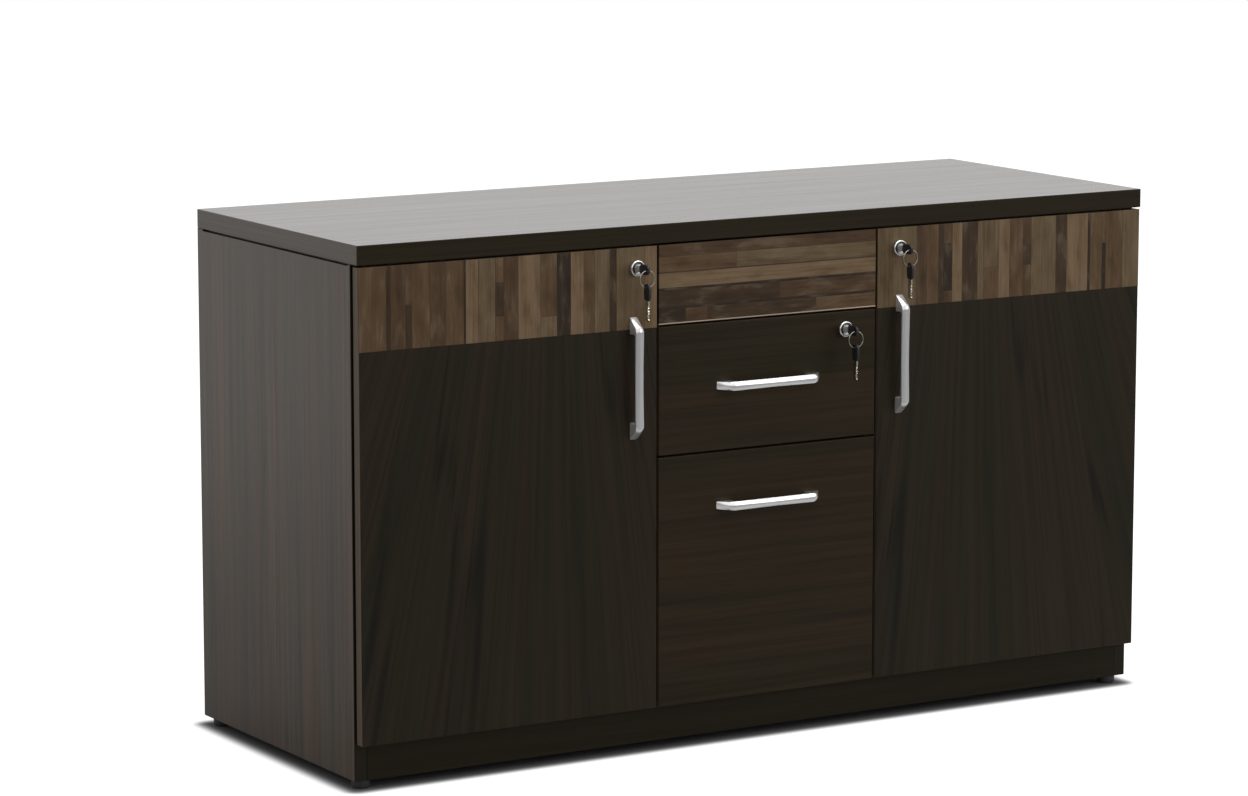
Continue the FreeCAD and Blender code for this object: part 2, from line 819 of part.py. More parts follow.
def save_door(side, mirror):
    """Write one door with its hardware; the left one is the right one's mirror image."""
    turn = other_side if mirror else (lambda shape: shape)

    def write(name, shapes):
        save(side + "_" + name, [turn(s) for s in shapes])

    handle_z = front_top - door_handle_drop
    write("door_panel", [door_panel()])
    write("door_band", [door_band()])
    write("hinge_cups", [hinge_cup(z) for z in hinge_levels])
    write("hinge_pins", [hinge_pin(z) for z in hinge_levels])
    write("door_handle", upright([handle()], handle_x, handle_z))
    write("door_handle_screws", upright(handle_screws(), handle_x, handle_z))
    write("lock_housing", lock_housing(lock_x, door_lock_z))
    write("lock_plug", [lock_plug(lock_x, door_lock_z, door_tail)]
          + lock_cam(lock_x, door_lock_z, door_tail, 0))
    write("lock_key", inserted_key(lock_x, door_lock_z))
    write("spare_key", spare_key(lock_x, door_lock_z))


def save_drawer(name, front, box, handle_z, slide_z, lock):
    """Write one drawer: front and box are the lower and upper edges of its front and its box."""
    save(name + "_front", [drawer_front(front[0], front[1], handle_z, lock)])
    save(name + "_sides", drawer_sides(box[0], box[1]))
    save(name + "_back", [drawer_back(box[0], box[1])])
    save(name + "_bottom", [drawer_bottom(box[0])])
    save(name + "_handle", lying([handle()], handle_z))
    save(name + "_handle_screws", lying(handle_screws(), handle_z))
    save(name + "_inner_slides", both_sides([inner_member(slide_z)]))
    save(name + "_middle_slides", both_sides(middle_member(slide_z)))


save_carcass()
save_door("right", False)
save_door("left", True)
save_drawer("upper_drawer", (upper_bottom, upper_top), (upper_box, upper_box_top),
            upper_top - upper_handle_drop, slide_levels[0], True)
save_drawer("lower_drawer", (front_bottom, lower_top), (lower_box, lower_box_top),
            lower_top - lower_handle_drop, slide_levels[1], False)
save("lower_drawer_file_rails", file_rails())
save("drawer_lock_housing", lock_housing(drawer_lock_x, drawer_lock_z))
save("drawer_lock_plug", [lock_plug(drawer_lock_x, drawer_lock_z, drawer_tail)]
     + lock_cam(drawer_lock_x, drawer_lock_z, drawer_tail, 90))
save("drawer_lock_key", inserted_key(drawer_lock_x, drawer_lock_z))
save("drawer_spare_key", spare_key(drawer_lock_x, drawer_lock_z))
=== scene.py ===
"""Looks of an office credenza: printed boards, staved wood bands, bow handles, cam locks and keys."""

import logging
import math
from dataclasses import dataclass, field
from enum import Enum
from typing import Callable, Iterable, Sequence

import bmesh
import bpy
import numpy as np
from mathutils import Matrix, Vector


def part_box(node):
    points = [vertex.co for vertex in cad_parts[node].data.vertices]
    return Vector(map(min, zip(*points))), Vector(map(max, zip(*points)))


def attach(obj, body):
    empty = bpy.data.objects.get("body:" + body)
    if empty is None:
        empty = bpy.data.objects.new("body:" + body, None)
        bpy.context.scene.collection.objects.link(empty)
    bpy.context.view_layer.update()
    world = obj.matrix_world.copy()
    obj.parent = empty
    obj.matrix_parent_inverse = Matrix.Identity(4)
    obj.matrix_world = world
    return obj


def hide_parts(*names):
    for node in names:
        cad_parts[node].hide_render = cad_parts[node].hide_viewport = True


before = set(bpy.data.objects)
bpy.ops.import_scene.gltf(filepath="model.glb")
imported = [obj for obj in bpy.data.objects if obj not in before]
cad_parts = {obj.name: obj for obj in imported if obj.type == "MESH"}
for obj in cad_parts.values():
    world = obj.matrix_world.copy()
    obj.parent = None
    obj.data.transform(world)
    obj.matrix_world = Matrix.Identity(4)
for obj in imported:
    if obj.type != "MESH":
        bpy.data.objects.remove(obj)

LOG = logging.getLogger("credenza")
MM = 0.001
MERGED = 0.001 * MM  # points nearer to each other than this are one
ON_PLANE = 0.01 * MM  # a point nearer to a plane than this lies on it
CRISP_ANGLE = 35.0  # edges sharper than this, in degrees, stay crisp
NEARLY_SQUARE = 0.95  # the part of a normal along an axis from which the face is square to it
FRONT_EASING = 1.0 * MM  # the easing of the edges of the doors' and drawers' fronts
FRONT_EDGE_LIMIT = 0.3  # the part of a normal out of the front under which the face is an edge's
Colour = tuple[float, float, float]
Point = tuple[float, float, float]
Pair = tuple[float, float]
Socket = bpy.types.NodeSocket
FaceRule = Callable[[np.ndarray, np.ndarray], np.ndarray]


class Grain(Enum):
    """The direction in which a board's printed grain runs."""

    ALONG_X = 0
    ALONG_Y = 1
    ALONG_Z = 2


class Hand(Enum):
    """The side of the credenza that a piece belongs to."""

    LEFT = -1
    RIGHT = 1

    @property
    def word(self) -> str:
        """The side as it stands in node names."""
        return self.name.lower()


class Stave(Enum):
    """The tones of the staved wood, from the darkest stave to the palest."""

    SMOKE = 0.0
    UMBER = 0.2
    RUSSET = 0.4
    WALNUT = 0.6
    OLIVE = 0.8
    TAN = 1.0


# --- Material drawing ------------------------------------------------------------------------------
def scaled(colour: Colour, share: float) -> Colour:
    """Return a colour at a share of its strength."""
    return tuple(share * part for part in colour)


@dataclass(frozen=True)
class Tint:
    """A tone that a random field brings in: the field's window, the tone's shares and its mix."""

    colour: Colour
    window: Pair
    shares: Pair = (0.0, 0.6)
    mode: str = "MULTIPLY"


class Shading:
    """The node tree of a material or of the world, and the few kinds of node used in it."""

    def __init__(self, owner: bpy.types.Material | bpy.types.World, output: str) -> None:
        """Start with nothing but the output.

        Args:
            owner: What the tree belongs to.
            output: The type of its output node.
        """
        owner.use_nodes = True
        self.owner, self.tree = owner, owner.node_tree
        self.tree.nodes.clear()
        self.output = self.tree.nodes.new(output)

    @classmethod
    def of_material(cls, name: str) -> "Shading":
        """Start a new material's tree."""
        return cls(bpy.data.materials.new(name), "ShaderNodeOutputMaterial")

    def node(self, kind: str, inputs: dict | None = None, **settings: object) -> bpy.types.Node:
        """Add a node, set its options, and link or set its inputs.

        Args:
            kind: The node's type.
            inputs: Values or output sockets by the input's name or number.
            **settings: The node's own options.

        Returns:
            The new node.
        """
        made = self.tree.nodes.new(kind)
        for key, value in settings.items():
            setattr(made, key, value)
        for key, value in (inputs or {}).items():
            if isinstance(value, bpy.types.NodeSocket):
                self.tree.links.new(value, made.inputs[key])
            else:
                made.inputs[key].default_value = value
        return made

    def place(self) -> Socket:
        """Return the place on the piece, in metres in the piece's own frame."""
        return self.node("ShaderNodeTexCoord").outputs["Object"]

    def noise(self, place: Socket, size: Point, detail: float = 2.0, roughness: float = 0.5,
              shift: Point = (0.0, 0.0, 0.0)) -> Socket:
        """Draw a smooth random field, 0 to 1, whose features have a size in metres.

        Args:
            place: Where the field is read.
            size: The features' size along each axis.
            detail: How many finer fields are laid over the first.
            roughness: How much each finer field counts.
            shift: The place in the random pattern that the piece's origin falls on.

        Returns:
            The field's value.
        """
        scale = tuple(1.0 / s for s in size)
        at = self.node("ShaderNodeMapping", {0: place, "Location": shift, "Scale": scale}).outputs[0]
        return self.node("ShaderNodeTexNoise", {
            "Vector": at, "Scale": 1.0, "Detail": detail, "Roughness": roughness}).outputs["Fac"]

    def maths(self, operation: str, *values: object) -> Socket:
        """Return an arithmetic result of sockets or numbers."""
        return self.node("ShaderNodeMath", dict(enumerate(values)), operation=operation).outputs[0]

    def remap(self, value: object, low: float, high: float, to_low: float = 0.0,
              to_high: float = 1.0) -> Socket:
        """Carry a value smoothly from one range to another, held at both ends.

        Args:
            value: The value.
            low: The low end of its range.
            high: The high end of its range.
            to_low: What the low end becomes.
            to_high: What the high end becomes.

        Returns:
            The new value.
        """
        return self.node("ShaderNodeMapRange", {
            0: value, 1: low, 2: high, 3: to_low, 4: to_high},
            interpolation_type="SMOOTHSTEP").outputs[0]

    def blend(self, factor: object, first: object, second: object, mode: str = "MIX") -> Socket:
        """Mix two colours.

        Args:
            factor: The share of the second colour.
            first: A colour or a colour socket.
            second: A colour or a colour socket.
            mode: Blender's name for the kind of mix.

        Returns:
            The mixed colour.
        """
        made = self.node("ShaderNodeMix", data_type="RGBA", blend_type=mode)
        for number, value in ((0, factor), (6, first), (7, second)):
            if isinstance(value, bpy.types.NodeSocket):
                self.tree.links.new(value, made.inputs[number])
            else:
                made.inputs[number].default_value = value if number == 0 else (*value, 1.0)
        return made.outputs[2]

    def tinted(self, under: Socket, field_: Socket, tint: Tint) -> Socket:
        """Lay a tint over a colour where a random field brings it in."""
        return self.blend(self.remap(field_, *tint.window, *tint.shares), under, tint.colour, tint.mode)

    def ramp(self, value: Socket, stops: Sequence[tuple[float, Colour]]) -> Socket:
        """Read a colour from a row of stops.

        Args:
            value: The place in the row, 0 to 1.
            stops: The places and colours of the stops.

        Returns:
            The colour.
        """
        made = self.node("ShaderNodeValToRGB", {0: value})
        row = made.color_ramp.elements
        while len(row) < len(stops):
            row.new(0.5)
        for element, (position, colour) in zip(row, stops):
            element.position = position
            element.color = (*colour, 1.0)
        return made.outputs[0]

    def bump(self, height: Socket, depth: float) -> Socket:
        """Return a normal from a height of 0 to 1 that stands for a depth in metres."""
        return self.node("ShaderNodeBump", {"Height": height, "Distance": depth, "Strength": 1.0}).outputs[0]

    def swung(self, middle: float, field_: Socket, swing: float) -> Socket:
        """Return a roughness that a random field swings round its middle."""
        return self.maths("ADD", middle - swing / 2, self.maths("MULTIPLY", field_, swing))

    def close(self, shader: bpy.types.Node) -> bpy.types.Material | bpy.types.World:
        """Lead a shader to the output and return the finished material or world."""
        self.tree.links.new(shader.outputs[0], self.output.inputs[0])
        return self.owner

    def either(self, switch: Socket, on: object, off: object) -> Socket:
        """Return one value where a switch is 1 and another where it is 0."""
        rest = self.maths("MULTIPLY", self.maths("SUBTRACT", 1.0, switch), off)
        return self.maths("ADD", self.maths("MULTIPLY", switch, on), rest)

    def surface(self, **inputs: object) -> bpy.types.Material:
        """Close the material with one principled surface.

        Args:
            **inputs: The surface's inputs, with underscores for spaces.

        Returns:
            The finished material.
        """
        named = {key.replace("_", " "): value for key, value in inputs.items()}
        return self.close(self.node("ShaderNodeBsdfPrincipled", named))


# --- Finishes --------------------------------------------------------------------------------------
@dataclass(frozen=True)
class LaminateFinish:
    """A board's printed wood laminate, with streaks, figure lines and pressed pores.

    The figure lines are the contours of a slow random field that is long along the grain, so they
    run, fork and close like the flames of a flat-cut board.  With a fan, a place's distance from
    the plumb line at fan_x is divided by 1 - fan (z - fan_z), so the figure opens downwards.

    Sizes are in metres, across and along the grain.  A window is the stretch of a random field
    over which its feature comes in.
    """

    name: str
    deep: Colour
    warm: Colour
    cool: Colour
    grain: Grain
    line_depth: float = 0.75
    line_pitch: float = 0.055
    fan: float = 0.0
    fan_x: float = 0.0
    fan_z: float = 0.33
    streak_width: float = 0.045
    fine_width: float = 0.0035
    fine_depth: float = 0.35
    roughness: float = 0.45
    specular: float = 0.2
    pore_depth: float = 0.00003
    sheen: Colour = (1.0, 1.0, 1.0)

    STREAK_LENGTH = 1.3
    STREAK_WINDOW = (0.4, 0.6)
    FIGURE_SIZE = (0.011, 0.5)
    FIGURE_WINDOW = (0.3, 0.75)
    FINE_LENGTH = 0.28
    FINE_WINDOW = (0.45, 0.7)
    FINE_TONE = 0.45
    PORE_SIZE = (0.0007, 0.012)
    PORE_WINDOW = (0.42, 0.6)
    FLAME_PITCHES = 2.6
    FLAME_LENGTH = 1.9
    FLAME_TURNS = 6.5
    LINE_WINDOW = (0.0, 0.075)
    LINE_BREAKS = (0.35, 0.65)
    LINE_TONE = 0.3
    SWING = 0.1

    def size(self, across: float, along: float) -> Point:
        """Return a feature's size along each axis from its size across and along the grain."""
        return tuple(along if axis == self.grain.value else across for axis in range(3))

    def place(self, sheet: Shading) -> Socket:
        """Find the place on the board, drawn in towards the plumb line where the figure opens.

        Args:
            sheet: The material's tree.

        Returns:
            The place.
        """
        place = sheet.place()
        if not self.fan:
            return place
        parts = sheet.node("ShaderNodeSeparateXYZ", {0: place}).outputs
        spread = sheet.maths("MULTIPLY_ADD", parts[2], -self.fan, 1.0 + self.fan * self.fan_z)
        opened = sheet.maths("DIVIDE", sheet.maths("SUBTRACT", parts[0], self.fan_x), spread)
        return sheet.node("ShaderNodeCombineXYZ", {0: opened, 1: parts[1], 2: parts[2]}).outputs[0]

    def line(self, sheet: Shading, place: Socket, figure: Socket) -> Socket:
        """Draw the figure lines, broken up by the figure.

        Args:
            sheet: The material's tree.
            place: The place on the board.
            figure: The random field of the figure.

        Returns:
            How much of a line there is at the place, 0 to 1.
        """
        flames = sheet.noise(place, self.size(self.line_pitch * self.FLAME_PITCHES, self.FLAME_LENGTH),
                             detail=1.5, shift=(3.0, 1.0, 8.0))
        turns = sheet.maths("FRACT", sheet.maths("MULTIPLY", flames, self.FLAME_TURNS))
        ridge = sheet.maths("ABSOLUTE", sheet.maths("SUBTRACT", turns, 0.5))
        return sheet.maths("MULTIPLY", sheet.remap(ridge, *self.LINE_WINDOW, 1.0, 0.0),
                           sheet.remap(figure, *self.LINE_BREAKS))

    def material(self) -> bpy.types.Material:
        """Draw the laminate.

        Returns:
            The material.
        """
        sheet = Shading.of_material(self.name)
        place = self.place(sheet)
        streaks = sheet.noise(place, self.size(self.streak_width, self.STREAK_LENGTH),
                              detail=3.0, roughness=0.55)
        figure = sheet.noise(place, self.size(*self.FIGURE_SIZE),
                             detail=3.0, roughness=0.6, shift=(7.0, 3.0, 5.0))
        fine = sheet.noise(place, self.size(self.fine_width, self.FINE_LENGTH), shift=(2.0, 9.0, 4.0))
        pores = sheet.noise(place, self.size(*self.PORE_SIZE), detail=1.0)
        line = self.line(sheet, place, figure)
        tone = sheet.blend(sheet.remap(streaks, *self.STREAK_WINDOW), self.warm, self.cool)
        tone = sheet.tinted(tone, figure, Tint(self.deep, self.FIGURE_WINDOW, mode="MIX"))
        tone = sheet.tinted(tone, fine, Tint(
            scaled(self.deep, self.FINE_TONE), self.FINE_WINDOW, (0.0, self.fine_depth), "MIX"))
        tone = sheet.blend(sheet.maths("MULTIPLY", line, self.line_depth), tone,
                           scaled(self.deep, self.LINE_TONE))
        relief = sheet.bump(sheet.remap(pores, *self.PORE_WINDOW), self.pore_depth)
        return sheet.surface(Base_Color=tone, Roughness=sheet.swung(self.roughness, figure, self.SWING),
                             Specular_IOR_Level=self.specular, Specular_Tint=(*self.sheen, 1.0),
                             Normal=relief)


@dataclass(frozen=True)
class StaveFinish:
    """Lacquered staves of mixed wood glued edge to edge.

    Each stave carries its own tone, a seed that gives it a grain of its own, and its size, from
    which the dark glue lines along its edges are found.  Sizes are in metres, across and along
    the stave.
    """

    name: str
    tones: tuple[Colour, ...]
    roughness: float = 0.49
    specular: float = 0.2
    swing: float = 0.14
    figure_size: Point = (0.005, 0.16, 1.0)
    figure_tint: Tint = Tint((0.55, 0.49, 0.45), (0.3, 0.72))
    cloud_size: Point = (0.014, 0.045, 1.0)
    cloud_tint: Tint = Tint((0.5, 0.43, 0.38), (0.5, 0.75))
    stain_tint: Tint = Tint((0.24, 0.18, 0.12), (0.28, 0.5), (0.3, 0.0), "MIX")
    fibre_size: Point = (0.0011, 0.03, 1.0)
    fibre_tint: Tint = Tint((0.6, 0.54, 0.5), (0.4, 0.7), (0.0, 0.3))
    joint_width: float = 0.0007
    joint_colour: Colour = (0.02, 0.014, 0.01)
    joint_share: float = 0.55
    fibre_height: float = 0.35
    relief: float = 0.0001

    def seam(self, sheet: Shading, across: Socket, along: Socket, size: Sequence[Socket]) -> Socket:
        """Find the glue lines along a stave's edges and ends.

        Args:
            sheet: The material's tree.
            across: The place across the stave.
            along: The place along it.
            size: The stave's width and length.

        Returns:
            How much of a glue line there is, 0 to 1.
        """
        edge, end = (sheet.maths("MINIMUM", at, sheet.maths("SUBTRACT", whole, at))
                     for at, whole in ((across, size[0]), (along, size[1])))
        return sheet.remap(sheet.maths("MINIMUM", edge, end), 0.0, self.joint_width, 1.0, 0.0)

    def material(self) -> bpy.types.Material:
        """Draw the staves.

        Returns:
            The material.
        """
        sheet = Shading.of_material(self.name)
        tone = sheet.node("ShaderNodeAttribute", attribute_name=StavedSheet.TONE).outputs["Fac"]
        marked = sheet.node("ShaderNodeAttribute", attribute_name=StavedSheet.SIZE).outputs["Vector"]
        size = sheet.node("ShaderNodeSeparateXYZ", {0: marked}).outputs
        mapped = sheet.node("ShaderNodeUVMap", uv_map=StavedSheet.PLACE).outputs[0]
        flat = sheet.node("ShaderNodeSeparateXYZ", {0: mapped}).outputs
        across, along = flat[0], flat[1]
        place = sheet.node("ShaderNodeCombineXYZ", {0: across, 1: along, 2: size[2]}).outputs[0]
        figure = sheet.noise(place, self.figure_size, detail=3.0, roughness=0.6)
        cloud = sheet.noise(place, self.cloud_size, detail=3.0, roughness=0.55)
        fibre = sheet.noise(place, self.fibre_size)
        wood = sheet.ramp(tone, [(stave.value, colour) for stave, colour in zip(Stave, self.tones)])
        for field_, tint in ((figure, self.figure_tint), (cloud, self.cloud_tint),
                             (cloud, self.stain_tint), (fibre, self.fibre_tint)):
            wood = sheet.tinted(wood, field_, tint)
        seam = self.seam(sheet, across, along, size)
        wood = sheet.blend(sheet.maths("MULTIPLY", seam, self.joint_share), wood, self.joint_colour)
        height = sheet.maths("SUBTRACT", sheet.maths("MULTIPLY", fibre, self.fibre_height), seam)
        return sheet.surface(Base_Color=wood, Roughness=sheet.swung(self.roughness, figure, self.swing),
                             Specular_IOR_Level=self.specular, Normal=sheet.bump(height, self.relief))


@dataclass(frozen=True)
class MetalFinish:
    """A metal with a brushed or polished skin; its marks' sizes are in metres."""

    name: str
    colour: Colour
    roughness: float
    spread: float = 0.05
    brushed: Grain | None = None
    relief: float = 0.000004
    blotch: float = 0.0
    metal: float = 1.0

    STROKE_WIDTH = 0.00025
    STROKE_LENGTH = 0.03
    POLISH_SIZE = 0.004
    SMUDGE_SIZE = 0.018
    SMUDGE_WINDOW = (0.3, 0.7)
    SMUDGE_SHARES = (0.0, 0.3)
    SMUDGE_TONE = 0.86

    def stroke(self) -> Point:
        """Find the size of the skin's finest marks.

        Returns:
            Their size along each axis.
        """
        if not self.brushed:
            return (self.POLISH_SIZE,) * 3
        return tuple(self.STROKE_LENGTH if axis == self.brushed.value else self.STROKE_WIDTH
                     for axis in range(3))

    def material(self) -> bpy.types.Material:
        """Draw the metal.

        Returns:
            The material.
        """
        sheet = Shading.of_material(self.name)
        place = sheet.place()
        strokes = sheet.noise(place, self.stroke())
        smudge = sheet.noise(place, (self.SMUDGE_SIZE,) * 3)
        wear = sheet.maths("ADD", sheet.maths("MULTIPLY", strokes, self.spread),
                           sheet.maths("MULTIPLY", smudge, self.spread + self.blotch))
        rough = sheet.maths("ADD", self.roughness - self.spread, wear)
        shade = sheet.blend(sheet.remap(smudge, *self.SMUDGE_WINDOW, *self.SMUDGE_SHARES), self.colour,
                            scaled(self.colour, self.SMUDGE_TONE))
        return sheet.surface(Base_Color=shade, Metallic=self.metal, Roughness=rough,
                             Normal=sheet.bump(strokes, self.relief))


@dataclass(frozen=True)
class MouldedFinish:
    """Moulded plastic or rubber with a fine spark-eroded skin; its marks' sizes are in metres."""

    name: str
    colour: Colour
    roughness: float
    specular: float = 0.5

    SKIN_SIZE = 0.0004
    SKIN_DEPTH = 0.00002
    SCUFF_SIZE = 0.006
    SCUFF_WINDOW = (0.35, 0.75)
    SCUFF_SHARES = (0.0, 0.5)
    SCUFF_GAIN = 1.5
    SCUFF_LIFT = 0.004
    SWING = 0.16

    def material(self) -> bpy.types.Material:
        """Draw the moulding.

        Returns:
            The material.
        """
        sheet = Shading.of_material(self.name)
        place = sheet.place()
        skin = sheet.noise(place, (self.SKIN_SIZE,) * 3)
        scuff = sheet.noise(place, (self.SCUFF_SIZE,) * 3, detail=3.0)
        worn = tuple(self.SCUFF_GAIN * part + self.SCUFF_LIFT for part in self.colour)
        shade = sheet.blend(sheet.remap(scuff, *self.SCUFF_WINDOW, *self.SCUFF_SHARES), self.colour, worn)
        return sheet.surface(Base_Color=shade, Roughness=sheet.swung(self.roughness, scuff, self.SWING),
                             Specular_IOR_Level=self.specular, Normal=sheet.bump(skin, self.SKIN_DEPTH))


# The doors' dark laminate; the ends' warmer one, a little lighter in itself and made much lighter with
# painted light; and the lining of the inside.
WENGE = dict(
    deep=(0.0075, 0.0058, 0.0030), warm=(0.0255, 0.0162, 0.0092), cool=(0.0150, 0.0135, 0.0066),
    sheen=(1.0, 0.93, 0.82), grain=Grain.ALONG_Z, fan=1.1)
LIT_END_WENGE = dict(
    deep=(0.019, 0.0118, 0.0070), warm=(0.072, 0.0425, 0.0270), cool=(0.054, 0.0395, 0.0285),
    line_depth=0.5, line_pitch=0.03, streak_width=0.05, fine_width=0.0022, fine_depth=0.5,
    roughness=0.36, specular=0.46, sheen=(1.0, 0.91, 0.80))
PALE_LINING = dict(
    deep=(0.12, 0.10, 0.082), warm=(0.21, 0.182, 0.152), cool=(0.19, 0.172, 0.148),
    line_depth=0.2, fine_depth=0.2, roughness=0.5)
WARM_SHEEN = (1.0, 0.88, 0.68)
FAN_LINE = 0.32  # from the credenza's middle to the plumb line that a door's figure opens round
MAKES = (
    LaminateFinish("left_door_front", **WENGE, fan_x=-FAN_LINE),
    LaminateFinish("right_door_front", **WENGE, fan_x=FAN_LINE),
    LaminateFinish(
        "drawer_face", deep=(0.0085, 0.0060, 0.0028), warm=(0.0285, 0.0178, 0.0088),
        cool=(0.0180, 0.0145, 0.0064), grain=Grain.ALONG_X, line_depth=0.15, sheen=WARM_SHEEN),
    LaminateFinish(
        "front_edging", deep=(0.056, 0.034, 0.020), warm=(0.102, 0.064, 0.038),
        cool=(0.084, 0.058, 0.036), grain=Grain.ALONG_Z, line_depth=0.1, specular=0.3,
        sheen=(1.0, 0.90, 0.76)),
    # Near black: painted shade, for the shade on the side panels' front edges under the doors.
    LaminateFinish(
        "side_edging", deep=(0.0042, 0.0031, 0.0016), warm=(0.0085, 0.0062, 0.0034),
        cool=(0.0072, 0.0058, 0.0031), grain=Grain.ALONG_Z, line_depth=0.1, specular=0.25,
        sheen=WARM_SHEEN),
    # Pale tape at the fascia sheet's foot, made paler still: a painted highlight for the lit edge in the gap
    # below.
    LaminateFinish(
        "pale_edging", deep=(0.34, 0.26, 0.195), warm=(0.60, 0.47, 0.36),
        cool=(0.54, 0.44, 0.35), grain=Grain.ALONG_X, line_depth=0.1),
    # The ends: the warmer laminate, lightened with painted light.
    LaminateFinish("side_board", **LIT_END_WENGE, grain=Grain.ALONG_Z),
    LaminateFinish("top_end", **LIT_END_WENGE, grain=Grain.ALONG_Y),
    # The top's dark laminate painted pale grey: a painted reflection of the bright sky at grazing, on top of
    # its own sheen.
    LaminateFinish(
        "top_face", deep=(0.056, 0.047, 0.036), warm=(0.080, 0.067, 0.053),
        cool=(0.072, 0.065, 0.053), grain=Grain.ALONG_X, line_depth=0.2, fine_depth=0.15,
        roughness=0.25, specular=0.78, pore_depth=0.00001),
    LaminateFinish(
        "top_edging", deep=(0.0080, 0.0058, 0.0024), warm=(0.0185, 0.0126, 0.0056),
        cool=(0.0156, 0.0116, 0.0054), grain=Grain.ALONG_X, line_depth=0.12, sheen=WARM_SHEEN),
    # Darker than the drawers' laminate: painted shade, for the shade on the plinth recessed under the doors.
    LaminateFinish(
        "plinth_board", deep=(0.0054, 0.0039, 0.0018), warm=(0.0112, 0.0080, 0.0040),
        cool=(0.0095, 0.0075, 0.0036), grain=Grain.ALONG_X, line_depth=0.15, sheen=WARM_SHEEN),
    LaminateFinish("inner_upright", **PALE_LINING, grain=Grain.ALONG_Z),
    LaminateFinish("inner_level", **PALE_LINING, grain=Grain.ALONG_X),
    LaminateFinish("inner_deep", **PALE_LINING, grain=Grain.ALONG_Y),
    LaminateFinish(
        "back_board", deep=(0.020, 0.0165, 0.013), warm=(0.036, 0.030, 0.024),
        cool=(0.032, 0.029, 0.024), grain=Grain.ALONG_Z, line_depth=0.2, roughness=0.5),
    StaveFinish("staves", tones=(
        (0.036, 0.023, 0.0125), (0.061, 0.0355, 0.0172), (0.094, 0.0535, 0.0255),
        (0.126, 0.0750, 0.0360), (0.158, 0.1090, 0.0570), (0.214, 0.143, 0.077))),
    # One satin chrome in two copies: dimmed for the upright handles and brightened for the lying ones, as
    # painted shade and painted light.
    MetalFinish("satin_chrome_upright", (0.84, 0.84, 0.84), 0.17, brushed=Grain.ALONG_Z, metal=0.68),
    MetalFinish("satin_chrome_lying", (0.97, 0.97, 0.97), 0.19, brushed=Grain.ALONG_X, metal=0.88),
    MetalFinish("bright_chrome", (0.78, 0.78, 0.79), 0.07, spread=0.03),
    # Chrome darkened for the locks' dished faces: a painted dark reflection.
    MetalFinish("smoked_chrome", (0.16, 0.155, 0.15), 0.2),
    MetalFinish("zinc_steel", (0.56, 0.57, 0.59), 0.32, spread=0.1, blotch=0.08),
    MetalFinish("key_brass", (0.70, 0.66, 0.58), 0.22, spread=0.08),
    MetalFinish("file_aluminium", (0.72, 0.73, 0.75), 0.36, brushed=Grain.ALONG_Y),
    MouldedFinish("key_plastic", (0.010, 0.010, 0.011), 0.42),
    MouldedFinish("glide_plastic", (0.014, 0.014, 0.014), 0.5),
    MouldedFinish("buffer_rubber", (0.34, 0.34, 0.35), 0.6, specular=0.3),
)


class Finishes:
    """Every finish of the credenza, each drawn once and kept."""

    def __init__(self) -> None:
        """Start with nothing drawn."""
        self.makes = {make.name: make for make in MAKES}
        self.drawn: dict[str, bpy.types.Material] = {}

    def __getitem__(self, name: str) -> bpy.types.Material:
        """Draw a finish the first time that it is asked for.

        Args:
            name: The finish's name.

        Returns:
            Its material.
        """
        if name not in self.drawn:
            self.drawn[name] = self.makes[name].material()
        return self.drawn[name]


# --- Surfaces --------------------------------------------------------------------------------------
@dataclass
class Surface:
    """A sheet of quads and end faces, in metres, before it goes into a mesh."""

    points: np.ndarray
    quads: np.ndarray
    ends: list[list[int]] = field(default_factory=list)
    finish: int = 0

    @classmethod
    def from_grid(cls, grid: np.ndarray, loop_rows: bool = False, loop_columns: bool = True,
                  cap_first: bool = False, cap_last: bool = False, finish: int = 0) -> "Surface":
        """Join a grid of points into quads, row by row.

        Args:
            grid: Points as rows x columns x 3.
            loop_rows: Whether the last row joins the first.
            loop_columns: Whether the last column joins the first.
            cap_first: Whether the first row is closed with one face.
            cap_last: Whether the last row is closed with one face.
            finish: The number of the finish among the piece's finishes.

        Returns:
            The surface.
        """
        rows, columns = grid.shape[:2]
        at = np.arange(rows * columns).reshape(rows, columns)
        if loop_rows:
            at = np.vstack([at, at[:1]])
        if loop_columns:
            at = np.hstack([at, at[:, :1]])
        quads = np.stack([at[:-1, :-1], at[:-1, 1:], at[1:, 1:], at[1:, :-1]], axis=-1)
        ends = []
        if cap_first:
            ends.append(list(range(columns)))
        if cap_last:
            ends.append(list(range((rows - 1) * columns, rows * columns)))
        return cls(grid.reshape(-1, 3), quads.reshape(-1, 4), ends, finish)


